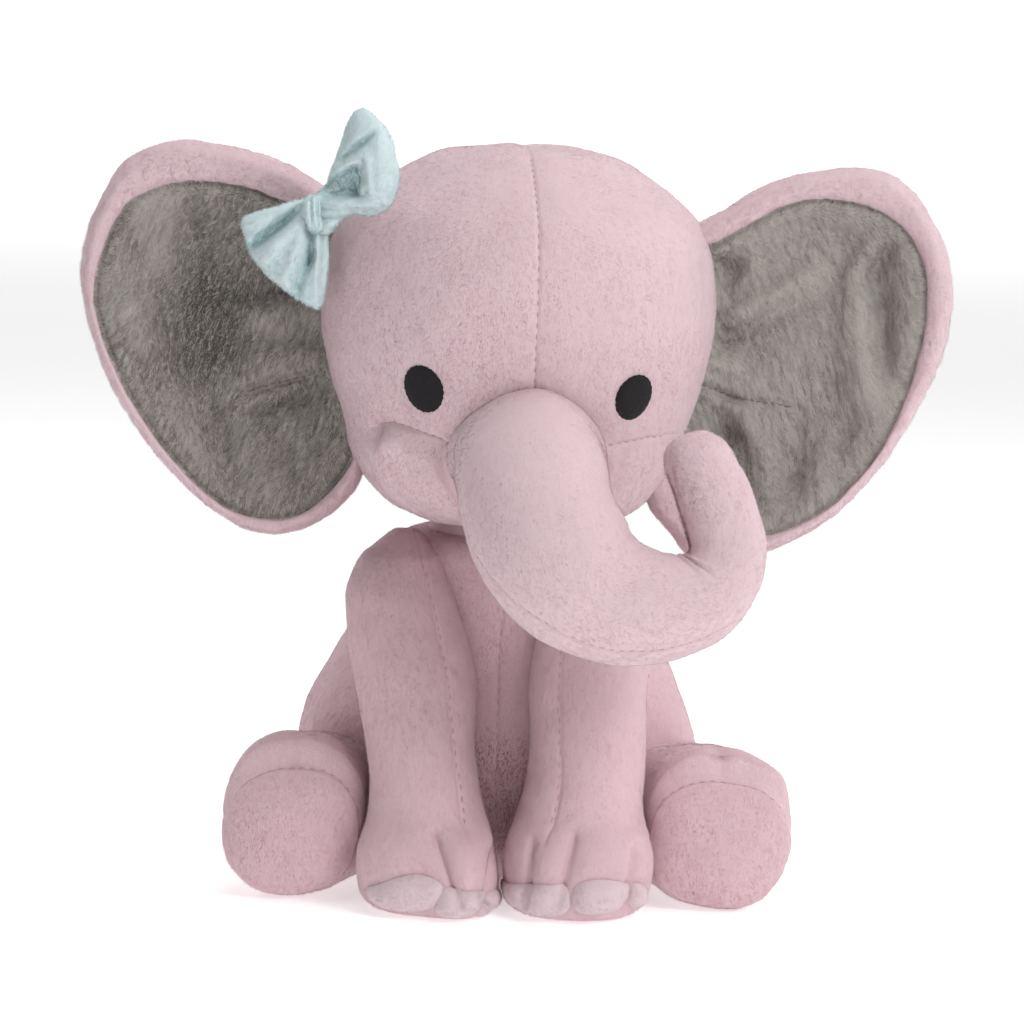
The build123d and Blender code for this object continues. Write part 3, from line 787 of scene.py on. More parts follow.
SEAM_INSET = 4.6    # least width of the rim


def fold_field(x, z, folds):
    """How high the fabric stands, from its folds: from, to, width and height, each fading out past its ends."""
    total = 0.0
    for (x0, z0), (x1, z1), width, height in folds:
        dx, dz = x1 - x0, z1 - z0
        size = math.hypot(dx, dz)
        along = ((x - x0) * dx + (z - z0) * dz) / size
        across = ((z - z0) * dx - (x - x0) * dz) / size
        ends = smoothstep(along, -0.35 * size, 0.2 * size) * smoothstep(size - along, -0.35 * size, 0.2 * size)
        total = total + height * bell(across, width) * ends
    return total


def make_ear(name):
    """A thin padded ear, as rows of points from its middle outwards and round to the back."""
    spec = EARS[name]
    sign = -1 if name == "left" else 1
    cx, cz = spec["centre"]
    turns = np.linspace(-np.pi, np.pi, 430, endpoint=False)
    edge = polar_outline(spec["outline"], spec["centre"], turns)
    seam = np.minimum(polar_outline(spec["lining"], spec["centre"], turns), edge - SEAM_INSET)
    # rows of points: out over the lining and the rim, round the edge, and back over the rear panel
    inner = spread(0, 1, 0.0165, [1.0], 0.006, 0.03)
    quarter = np.linspace(0, np.pi / 2, 9)[1:]
    flat = edge - EDGE_ROLL
    rows = ([(q * seam, 1.0) for q in inner]
            + [(seam + q * (flat - seam), 1.0) for q in np.linspace(0, 1, 9)[1:]]
            + [(flat + EDGE_ROLL * np.sin(q), math.cos(q)) for q in quarter]
            + [(flat + EDGE_ROLL * np.sin(q), -math.cos(q)) for q in quarter[::-1][1:]]
            + [(q * flat, -1.0) for q in np.linspace(1, 0, 64)])
    radii = np.array([row[0] for row in rows])
    depth = np.array([row[1] for row in rows])[:, None]
    front_rows = len(inner)
    x = cx + radii * np.cos(turns)
    z = cz + radii * np.sin(turns)
    inset = np.maximum(edge - radii, 0)
    from_seam = seam - radii
    at_root = smoothstep(-sign * x, -62, -50)
    cup = 7.0 * smoothstep(from_seam, -1.0, 20) * (1 - 0.55 * at_root)
    ring = np.clip((radii - seam) / np.maximum(edge - seam, SEAM_INSET), 0, 1)
    puff = 1.7 * np.sin(np.pi * ring) ** 0.8 * (radii > seam)
    wave = 1.2 * noise(xyz(x, 0, z), 34, 70 + sign)
    folds = fold_field(x, z, spec["folds"])
    front_relief = -1.8 * folds * smoothstep(from_seam, 1.0, 7) - puff
    facing, rear = np.clip(depth, 0, 1), np.clip(-depth, 0, 1)
    y = EAR_MID_Y + wave + cup * 0.9 - depth * EAR_HALF + np.where(depth > 0, front_relief * facing, 0.5 * puff * rear)
    y = np.where(depth < 0, y - 0.35 * cup * rear, y)
    p = xyz(x, y, z)
    ear = Surface(p)
    is_front = (np.arange(len(radii)) < front_rows)[:, None]
    push = lumps(p, 0.35, 0.10, 71 + sign)
    push += groove(from_seam, p, 0.85, 73 + sign) * (depth > 0.9)
    scallop = 0.5 * np.sin(turns[None] * 31 + 3 * np.sin(turns[None] * 5)) + 0.5 * noise(p, 8, 75)
    push += 0.22 * scallop * bell(inset - 1, 5) * (1 - 0.5 * facing)
    push += 0.25 * noise(p, 5, 77) * is_front
    push *= smoothstep(radii, 0, 3)
    axis = (0.35 * sign, 0, -1)
    push += 0.30 * streaks(p, axis, 1.1, 4, 78) * is_front
    ear.push(push)
    broad = 0.45 * noise(p, 26, 310 + sign) + 0.35 * noise(p, 11, 312)
    # painted shade in the grooves of the folds and painted light on their ridges, the patches of painted light and
    # shade, and the ear's painted lightness, over random patches
    ear.nap = np.where(is_front, np.clip(0.2 * folds + 0.35 * broad + spec["tone"]
                                         + fold_field(x, z, spec["shades"]), -1.2, 1.2), ear.nap)

    behind = ear.at_cells(depth) < 0
    lining = np.broadcast_to(np.arange(len(radii) - 1)[:, None] < front_rows - 1, behind.shape)
    rim = ~lining & ~behind
    body = "ear_" + name
    mover = ("blend", "head", body, (sign * 49, -12, 160), (sign * 66, -12, 160))
    panel(body + "_lining", ear, lining, GRAY, mover, [body + "_lining", body + "_batting"])
    panel(body + "_rim", ear, rim, PINK, mover)
    panel(body + "_back_panel", ear, behind, PINK, mover)

    # the lining's nap runs out from the head and down, and flares at its edge
    out = xyz((x - sign * 60) / 60, 0, (z - 178) / 60)
    down = np.array([0.35 * sign, 0, -1])
    edge_way = xyz(np.cos(turns), 0 * x, np.sin(turns))
    near = smoothstep(-from_seam, -5, 0)[..., None]
    flow = unit(0.5 * out + 0.9 * down) * (1 - 0.75 * near) + 0.95 * edge_way * near
    darts = [(start, end) for start, end, wide, _ in spec["folds"] if wide < 1.4]
    from_dart = np.minimum.reduce([segment_distance(x, z, *dart) for dart in darts])
    weight = 0.12 + 0.88 * smoothstep(from_dart, 0.2, 1.3)
    pile(f"pile_{body}_lining", ear, lining, GRAY_PILE, mover, 8.5, 1.9, 0.26, 1.5, flow, wander=0.45, clump=0.75,
         stretch=5, axis=axis, rough=0.4, contrast=0.5, weight=weight, seed=30 + sign)
    rim_weight = smoothstep(abs(from_seam), 0.1, 1.2)
    rim_flow = np.array([0, 0.1, -1]) * 0.8 + edge_way * 0.4
    pile(f"pile_{body}_rim", ear, rim, PINK_PILE, mover, 6.0, 1.35, 0.18, 1.1, rim_flow, weight=rim_weight,
         seed=34 + sign)
    pile(f"pile_{body}_back", ear, behind, PINK_PILE, mover, 4.0, 1.25, 0.2, 1.2, rim_flow, seed=38 + sign)

    spots, outward = (grid[:front_rows].reshape(-1, 3) for grid in (ear.p, ear.n))
    for number, ((x0, z0), (x1, z1)) in enumerate(darts):
        on_dart = [np.argmin((spots[:, 0] - x0 - q * (x1 - x0)) ** 2 + (spots[:, 2] - z0 - q * (z1 - z0)) ** 2)
                   for q in np.linspace(0, 1, 40)]
        stitches(f"stitches_{body}_{number}", spots[on_dart], outward[on_dart], mover, GRAY_THREAD, 1.8, 0.8, 0.3, 0.3)


def segment_distance(x, z, start, end):
    """Distance from a straight line between two (x, z) points."""
    d = np.array(end, float) - np.array(start, float)
    t = np.clip(((x - start[0]) * d[0] + (z - start[1]) * d[1]) / (d @ d), 0, 1)
    return np.hypot(x - start[0] - t * d[0], z - start[1] - t * d[1])


# ---------------------------------------------------------------- bow

BOW = {  # folds: from, to, width, height; hollow: the open end's middle, outline and depth
    "upper": {
        "centre": (-46.5, 212), "mid_y": -46.2, "thick": 6.6, "tone": 0.45,
        "outline": [(-56.5, 208.3), (-55, 212.8), (-53, 219.2), (-50.6, 226.8), (-48.5, 230.4), (-46.1, 231.3),
                    (-43.4, 229.9), (-39.5, 225.9), (-37.1, 221.5), (-36.1, 217.1), (-35.2, 212.7), (-36.1, 207.6),
                    (-38.2, 203.7), (-42, 201.4), (-45.8, 201.3), (-48.7, 201.6), (-52.8, 198.5), (-55.4, 195.6),
                    (-58.6, 196.4), (-60.4, 200.8), (-59.6, 205)],
        "folds": [((-52.6, 216.4), (-43, 224), 1.3, -2.4), ((-53, 213.8), (-45, 218.6), 2, 1.1),
                  ((-57.4, 205.8), (-46.6, 206.7), 0.9, -2.2), ((-41.2, 224), (-40.4, 206), 3.2, 1.7),
                  ((-56, 203.4), (-41, 204.4), 1.4, 1.5), ((-58.6, 202.6), (-49, 203), 0.7, -1.1),
                  ((-58.6, 199.8), (-51.4, 200.4), 0.8, -1.2), ((-44.4, 217.5), (-43.4, 208.5), 1.2, 1.1)],
        "hollow": ((-50, 210.2), [(-58.4, 206.2), (-56.6, 211), (-53.2, 213.4), (-50, 215.4), (-46.8, 215.8),
                                    (-45.3, 212.4), (-45.6, 208.6), (-46.4, 206.5), (-51, 206.1)], 4.6),
    },
    "lower": {
        "centre": (-66.5, 190.5), "mid_y": -38.5, "thick": 6.2, "tone": 0.5,
        "outline": [(-58, 204.6), (-61.8, 205.1), (-67.5, 203.5), (-73.8, 201.4), (-79.5, 199.3), (-80.6, 197.2),
                    (-79.6, 194.6), (-78, 189.8), (-75.4, 186.1), (-71.5, 181.7), (-65.6, 177.1), (-60.4, 174.3),
                    (-57.2, 174), (-55.8, 179.6), (-55.3, 185.4), (-55.1, 190.5), (-55.6, 195.9)],
        "folds": [((-62, 203.4), (-77, 191.6), 1.7, -3.4), ((-66, 199.6), (-77.2, 190.6), 1, -1.6),
                  ((-62.5, 204.9), (-78.4, 197.6), 1.5, 1.4), ((-62.6, 200.6), (-74, 187.6), 2, 1.7),
                  ((-60.2, 199), (-60.2, 188), 1.3, -3), ((-60.2, 189), (-64.6, 177.4), 1.5, -3),
                  ((-61.6, 198), (-68, 181), 2, 1.4), ((-58.4, 199), (-58.4, 178), 1, 1.5),
                  ((-56.3, 194), (-56.6, 180), 0.8, -0.8)],
    },
    "wrap": {
        "centre": (-59.6, 201.2), "mid_y": -45, "thick": 4.8, "tone": 0.2,
        "outline": [(-61.9, 204.8), (-60.2, 206), (-57.8, 205.9), (-56.9, 203.4), (-57, 200), (-56.4, 197.2),
                    (-58, 195.6), (-60.2, 196.2), (-61.4, 198.6), (-62.2, 201.8)],
        "folds": [((-60.4, 205), (-59.6, 197), 0.7, -1.2), ((-58.6, 205), (-58, 197), 0.6, -0.9)],
    },
}


BOW_KNOT = (-59.5, 201.5)


def make_pillow(name, spec, seed, tilt=0.0):
    """One loop of the bow, with its folds, its open end and its pile."""
    cx, cz = spec["centre"]
    turns = np.linspace(-np.pi, np.pi, 240, endpoint=False)
    edge = polar_outline(spec["outline"], spec["centre"], turns)
    alpha = np.concatenate([np.linspace(0, 1, 36)[:-1] * 0.45, np.linspace(0.45, 1, 22)]) * np.pi / 2
    rows = np.concatenate([np.sin(alpha), np.sin(alpha)[::-1][1:]])[:, None]
    depth = np.concatenate([np.cos(alpha), -np.cos(alpha)[::-1][1:]])[:, None]
    x = cx + rows * edge * np.cos(turns)
    z = cz + rows * edge * np.sin(turns)
    relief = fold_field(x, z, spec["folds"])
    if "hollow" in spec:
        (hx, hz), ring, deep = spec["hollow"]
        turn, away = np.arctan2(z - hz, x - hx), np.hypot(x - hx, z - hz)
        relief = relief - deep * smoothstep(polar_outline(ring, (hx, hz), turn) - away, -0.5, 2.6)
    y = spec["mid_y"] + tilt * (x - cx) - bent(depth, 0.75) * spec["thick"] * np.where(depth > 0, 1, 0.45)
    y = y - relief * np.clip(depth, 0, 1) ** 0.4 * (depth > 0)
    shape = Surface(xyz(x, y, z))
    shape.push(lumps(shape.p, 0.35, 0.12, seed) * smoothstep(rows, 0, 0.15))
    # painted shade in the folds' valleys and the open end's hollow, painted light on the ridges, with the loop's tone
    # and random patches
    shape.nap = np.clip(0.26 * relief + spec["tone"] + 0.2 * noise(shape.p, 7, seed), -1.1, 1.2)
    mover = ("ride", "bow")
    panel(name, shape, shape.whole(), MINT, mover)
    flow = xyz(x - BOW_KNOT[0], 0, z - BOW_KNOT[1] - 4) / 20
    pile("pile_" + name, shape, shape.whole(), MINT_PILE, mover, 6.5, 1.4, 0.2, 0.9, flow, rough=0.35, contrast=0.45,
         clump=0.8, seed=seed)


def make_bow():
    make_pillow("bow_upper_loop", BOW["upper"], 80, -0.3)
    make_pillow("bow_lower_loop", BOW["lower"], 90, -0.12)
    make_pillow("bow_wrap", BOW["wrap"], 95)


# ---------------------------------------------------------------- torso

BODY_RINGS = [  # height, middle in y, radius
    (0.0, 32, 47), (1.6, 32, 50.5), (6, 32, 54.5), (14, 32, 58.5), (25, 32.4, 61), (36, 32.2, 61.4), (48, 30.5, 58.8),
    (60, 27, 53.4), (70, 23.5, 48.2), (80, 19, 43.2), (90, 14.6, 38.6), (100, 10.5, 34.4),
    (103.4, 9.2, 32.4), (105.4, 8.2, 29.4), (106.6, 7.5, 24.0), (107.0, 7, 12), (107.1, 7, 0.01),
]


NECK_RINGS = [(97, 0.01), (97.5, 14), (99.5, 22), (103, 24.6), (108, 24.6), (113, 21), (117, 14), (118.5, 0.01)]


def make_torso():
    """The body with its shoulders, the flat panel that it sits on, and the cover of its neck."""
    dense = curve(BODY_RINGS, 900)
    length = distances(dense[:, [0, 2]])
    z, mid, r = sample(dense, length, spread(0, length[-1], 0.95))
    angles = spread(-180, 180, 0.95, [0.0, -90.0, 90.0], 0.35, 1.6)[:-1]
    a = angles[None] + 0 * z
    rad = np.radians(a)
    shift = np.interp(z, [0, 20, 36, 75, 100, 118], [-0.5, -1.5, -2.6, -2.6, 0, 0])
    p = around(r, rad, mid, z, shift)
    torso = Surface(p)
    arc = np.radians(1) * r
    push = lumps(p, 0.7, 0.10, 100)
    push += groove(a * arc, p, 0.55, 101) * (abs(a) < 60)
    side_d = abs(abs(a) - 90) * arc
    push += groove(side_d, p, 0.7, 102)
    push += groove((180 - abs(a)) * arc, p, 0.7, 103) * (abs(a) > 120)
    push *= smoothstep(z, 1.0, 6.0) * smoothstep(106.8 - z, 0, 4)
    # the shoulders, which the front legs come out of
    push += (9.5 * bell(a + 56, 28) + 8 * bell(a - 55, 26)) * bell(z - 96, 13) * smoothstep(107 - z, 0, 8)
    torso.push(push)
    # lighter overall, with painted shade low on the belly between the front legs
    torso.nap = torso.nap + 0.5 - 2.2 * smoothstep(54 - z, 0, 16) * bell(a, 24)
    mid_a = torso.at_cells(a)
    mid_a[:, -1] = 179.5
    ride = ("ride", "torso")
    for name, own in (("left", mid_a < 0), ("right", mid_a >= 0)):
        inside = ["body_stuffing"] if name == "left" else []
        panel("belly_" + name, torso, own & (abs(mid_a) < 90), SHADED_PINK, ride, ["belly_" + name] + inside)
        panel("back_" + name, torso, own & (abs(mid_a) >= 90), SHADED_PINK, ride)
    flow = xyz(0.15 * np.sin(rad), 0, -1)
    weight = 0.2 + 0.8 * smoothstep(np.minimum(abs(a) * arc, side_d), 0.2, 1.4)
    front_cells = torso.at_cells(p[..., 1]) < 40
    for name, part, contrast in (("belly", front_cells, 0.25), ("back", ~front_cells, 0.35)):
        pile("pile_" + name, torso, part, SHADED_BELLY_PILE, ride, 4.6, 1.2, 0.19, 1.3, flow, weight=weight,
             contrast=contrast, seed=50)
    j = np.argmin(abs(angles))
    order = np.where((z[:, 0] > 12) & (z[:, 0] < 110))[0]
    stitches("stitches_belly", torso.p[order, j], torso.n[order, j], ride, THREAD, 2.0, 1.4, 0.26, 0.15)

    # the flat panel that it sits on
    rings = np.linspace(0, 1, 34)[:, None]
    base = Surface(around(rings * 47.6, rad[:1], 32, 0.15 + 0.5 * (1 - rings ** 8)))
    panel("body_base", base, base.whole(), SHADED_PINK, ride)

    height, radius = curve(NECK_RINGS, 40).T[..., None]
    cover = Surface(around(radius, circle(90)[None], 4, height))
    panel("neck_cover", cover, cover.whole(), SHADED_PINK, ("ride", "neck"), ["neck_cover", "neck_stuffing"])


# ---------------------------------------------------------------- front legs

LEG_RINGS = {  # height, left and right edge, middle in y, half depth, from the top to the sole
    "left": [(107.6, -32.8, -31.2, -13.6, 0.3), (107.2, -34.4, -28.6, -13.8, 4.4), (105.4, -37.0, -26.0, -14.8, 8.4),
             (102.6, -40.4, -23.6, -16.6, 11.6), (99.5, -44.4, -21, -19, 15), (92, -48.2, -17.6, -22.5, 17.3),
             (84, -48.4, -14.8, -25, 18.2), (75, -46.9, -11.8, -28, 18.2), (66, -44.9, -9.6, -31, 18.0),
             (57, -42.9, -9.3, -34, 17.8),
             (48, -40.9, -9.5, -36.8, 18.0), (40, -39.4, -8.5, -39.2, 18.2), (32, -39.4, -6.7, -41.4, 19.0),
             (24, -39.9, -4.3, -43.2, 20.4), (16, -41.4, -1.9, -44.6, 21.6), (9, -41.6, -0.7, -45.4, 21.8),
             (4, -40.6, -1.2, -45.6, 20.8), (1.2, -37.6, -3.6, -45.6, 17.8), (0.2, -33, -8, -45.6, 13),
             (0.1, -20.9, -20.7, -45.6, 0.1)],
    "right": [(107, 29, 30, -14, 0.3), (106.2, 24.5, 36, -15, 6), (101.5, 17.5, 42.5, -18.5, 12.6),
              (94, 12.4, 46.2, -22, 16.4), (85, 9.6, 45.6, -25, 17.6), (75, 7.6, 42.4, -28, 17.6),
              (66, 6.2, 41.2, -31, 17.4), (57, 6.6, 40.8, -34, 17.4), (48, 6.8, 40.6, -36.8, 17.8),
              (40, 6.4, 40.8, -39.2, 18.2), (32, 4.3, 41.2, -41.4, 19.0), (24, 2.4, 42.4, -43.2, 20.4),
              (16, 1.0, 43.4, -44.6, 21.6), (9, 0.6, 43.2, -45.4, 21.8), (4, 1.2, 41.8, -45.6, 20.8),
              (1.2, 4.2, 38.6, -45.6, 17.8), (0.2, 9, 34, -45.6, 13), (0.1, 21.3, 21.5, -45.6, 0.1)],
}
LEG_SEAMS = {  # the seam down the front: height and x
    "left": [(112, -30), (104, -27.6), (96.7, -24.7), (84.7, -21.2), (67.2, -17.2), (59, -16.3), (45.5, -14.3),
             (34.5, -12.3), (24, -10.5), (0, -9)],
    "right": [(104, 24), (90, 18), (77, 15.4), (64.3, 14.8), (52, 15.6), (42, 16.2), (34, 15.2), (28, 13.8),
              (24.4, 12.4), (0, 10.5)],
}
TOES = {  # tack lines: top x and z, bottom x and z
    "left": [((-19.6, 26.0), (-14.8, 12.6)), ((-2.6, 20), (-3.2, 8))],
    "right": [((20.9, 27.0), (17.9, 13.0)), ((8.6, 23.6), (7.2, 10.6)), ((38.5, 22), (37.6, 12))],
}
NAILS = {  # outline of each toenail in x and z, as it is seen from the front
    "left": [[(-38.4, 7.6), (-35.4, 9.6), (-30.2, 12.2), (-24.8, 13.7), (-19.9, 13.0), (-16.6, 10.8), (-17.6, 7.2),
              (-20.6, 3.8), (-27.5, 2.0), (-34.6, 2.2), (-38.2, 4.4)],
             [(-16.0, 10.5), (-11.2, 9.8), (-7.8, 9.6), (-5.0, 8.0), (-5.6, 4.6), (-8.6, 2.0), (-13.6, 1.2),
              (-18.6, 2.6), (-18.2, 6.4)],
             [(-4.3, 7.2), (-1.6, 7.6), (-0.2, 5.6), (-0.6, 2.8), (-3.6, 1.2), (-7.0, 1.2), (-6.0, 4.2)]],
    "right": [[(0.2, 8.8), (4.0, 10.2), (9.5, 11.2), (14.5, 11.8), (18.4, 11.6), (19.8, 8.6), (19.4, 4.4), (15.5, 2.0),
               (8.0, 1.4), (2.8, 2.6), (0.4, 5.2)],
              [(20.6, 10.6), (22.8, 12.8), (27.7, 13.7), (33.0, 13.0), (36.6, 10.8), (36.2, 7.0), (33.2, 4.2),
               (27.0, 3.0), (22.0, 4.2), (20.4, 7.2)],
              [(37.6, 11.4), (40.2, 11.0), (41.8, 8.4), (41.2, 5.0), (38.6, 3.6), (36.8, 5.6), (37.0, 8.6)]],
}


def make_front_leg(name):
    """A stuffed column of rings, with its seam, toes and nails pressed into it."""
    sign = -1 if name == "left" else 1
    dense = curve(LEG_RINGS[name], 1200)
    length = distances(dense[:, [0, 1, 4]])
    rows = spread(0, length[-1], 0.8)
    z, low, high, mid, depth = sample(dense, length, rows)
    angles = np.linspace(-180, 180, 200, endpoint=False)[None]
    rad = np.radians(angles)
    half = (high - low) / 2
    foot = smoothstep(30 - z, 0, 16)
    power = 1.0 - 0.12 * foot
    x = (low + high) / 2 + half * bent(np.sin(rad), power)
    y = mid - depth * bent(np.cos(rad), power)
    if name == "left":      # this foot's inner toes reach further forward
        y = y - 5.5 * smoothstep(x, -26, -8) * foot
    p = xyz(x, y, z)
    leg = Surface(p)
    # painted light: the front legs lighter, where the light falls on them
    leg.nap = leg.nap + 0.9
    front = smoothstep(np.cos(rad), -0.15, 0.35)
    seam = np.array(LEG_SEAMS[name])[::-1].T
    seam_d = x - np.interp(z, *seam)
    push = lumps(p, 0.65, 0.10, 110 + sign)
    push += groove(seam_d, p, 0.6, 112) * front * smoothstep(z, 20, 26)
    back_d = np.abs(180 - np.abs(angles)) * np.radians(1) * half
    push += groove(back_d, p, 0.7, 113)
    # the foot: two tucks drawn up between three toes
    for (x0, z0), (x1, z1) in TOES[name]:
        along = np.clip((z0 - z) / (z0 - z1), -2, 2)
        line = x0 + (x1 - x0) * along
        reach = smoothstep(z, z1 - 13, z1 - 6) * smoothstep(z0 + 2.5 - z, 0, 5)
        push += -(1.5 * bell(x - line, 3.4) + 1.5 * bell(x - line, 1.0)) * reach * front
    push += 1.6 * bell(z - 18, 9) * front
    push += -0.8 * bell(z - 29, 4.5) * front
    nail_d = 99.0
    for outline in NAILS[name]:
        ring = curve(outline, 60, closed=True)
        to_ring = (x[..., None] - ring[:, 0]) ** 2 + (z[..., None] - ring[:, 1]) ** 2
        nail_d = np.minimum(nail_d, np.sqrt(to_ring.min(axis=-1)))
    push += -(0.45 * bell(nail_d, 2.0) + 0.3 * bell(nail_d, 0.8)) * front * (z < 18)
    push *= smoothstep(z, 0.3, 3.0) * smoothstep(rows[:, None], 0, 4)
    leg.push(push)
    leg.p[..., 2] = np.maximum(leg.p[..., 2], 0.06)

    body = "front_leg_" + name
    mover = ("blend", "torso", body, (sign * 28, -12, 104), (sign * 28, -27, 78))
    behind = leg.at_cells(np.cos(rad)) < 0
    outer = np.where(behind, leg.at_cells(angles), leg.at_cells(x) - leg.at_cells(x - seam_d)) * sign > 0
    sole = leg.at_cells(z) < 1.0
    panel(body + "_outer_cover", leg, outer & ~sole, SHADED_PINK, mover, [body + "_outer_cover", body + "_stuffing"])
    panel(body + "_inner_cover", leg, ~outer & ~sole, SHADED_PINK, mover)
    panel(body + "_sole", leg, sole, SHADED_PINK, mover)
    weight = 0.2 + 0.8 * smoothstep(np.minimum(abs(seam_d) + 9 * (1 - front), nail_d), 0.2, 1.3)
    pile("pile_" + body, leg, ~sole, SHADED_PINK_PILE, mover, 4.6, 1.15, 0.18, 1.25, (0, -0.1, -1), weight=weight,
         seed=60 + sign)
    ahead = np.where(np.cos(rad[0]) > 0.05)[0]
    spots = []
    for height in np.linspace(100, 27, 120):
        i = np.argmin(abs(z[:, 0] - height))
        spots.append((i, ahead[np.argmin(abs(leg.p[i, ahead, 0] - np.interp(height, *seam)))]))
    i, j = np.array(spots).T
    stitches("stitches_" + body, leg.p[i, j], leg.n[i, j], mover, THREAD, 1.9, 1.5, 0.24, 0.15)
    make_nails(name, leg, mover)


def make_nails(name, leg, mover):
    """Puffed toenails of paler fabric, tucked in round their edges."""
    ahead = leg.n[..., 1] < 0.1
    spots = leg.p[ahead]
    spots = spots[spots[:, 2] < 30]
    foot_x = -20.8 if name == "left" else 21.5
    for number, outline in enumerate(NAILS[name]):
        ring = curve(outline, 90, closed=True)
        centre = ring.mean(axis=0)
        rho = np.concatenate([np.linspace(0, 0.8, 16), np.linspace(0.84, 1.04, 8)])[:, None]
        x = centre[0] + rho * (ring[:, 0] - centre[0])
        z = centre[1] + rho * (ring[:, 1] - centre[1])
        flat = np.stack([x.ravel(), z.ravel()], axis=1)
        y = np.empty(len(flat))
        for k, point in enumerate(flat):
            d = (spots[:, 0] - point[0]) ** 2 + (spots[:, 2] - point[1]) ** 2
            near = np.argpartition(d, 12)[:12]
            weight = np.exp(-d[near] / 1.5) + 1e-6
            y[k] = (spots[near, 1] * weight).sum() / weight.sum()
        y = y.reshape(x.shape)
        out = unit(xyz(x - foot_x, y + 45.5, (z - 8) * 1.2))
        puff = 2.1 * np.clip(1 - rho ** 2.4, 0, 1) ** 0.8 - 0.5 * (rho > 0.99)
        p = xyz(x, y, z) + out * (puff[..., None] + 0.25)
        p += out * (0.12 * noise(p, 2.5, 120) + 0.25 * noise(p, 7, 121))[..., None]
        p[..., 2] = np.maximum(p[..., 2], 0.3)
        nail = Surface(p)
        panel(f"toenail_{name}_{number}", nail, nail.whole(), PALE, mover, [f"front_leg_{name}_toenails"])
        pile(f"pile_toenail_{name}_{number}", nail, nail.whole(), PALE_PILE, mover, 6.0, 0.95, 0.17, 1.2,
             (0, 0, -1), seed=70 + number)


# ---------------------------------------------------------------- hind legs

HIND_RINGS = [  # x, y, z, half width, half height, from the hip to the front
    (45.5, 31, 21, 9, 9), (45.6, 28, 21, 14, 14), (46, 22, 21.2, 18.6, 18.6), (48, 13, 21.6, 20.4, 20.4),
    (51.5, 2, 22.2, 21.2, 21.4), (55.6, -10, 23.0, 21.6, 22.4), (59.6, -22, 23.9, 22.0, 23.4),
    (62.4, -31, 24.2, 22.3, 23.8), (63.6, -36.5, 23.5, 21.9, 22.8),
]
HIND_PLACE = {"left": (-61.6, 0.955), "right": (63.4, 1.0)}   # where the sole is, and how wide
SOLE_MID, SOLE_Y = (63.6, 20.2), -40.6
SOLE_HALF = (21.4, 19.2)


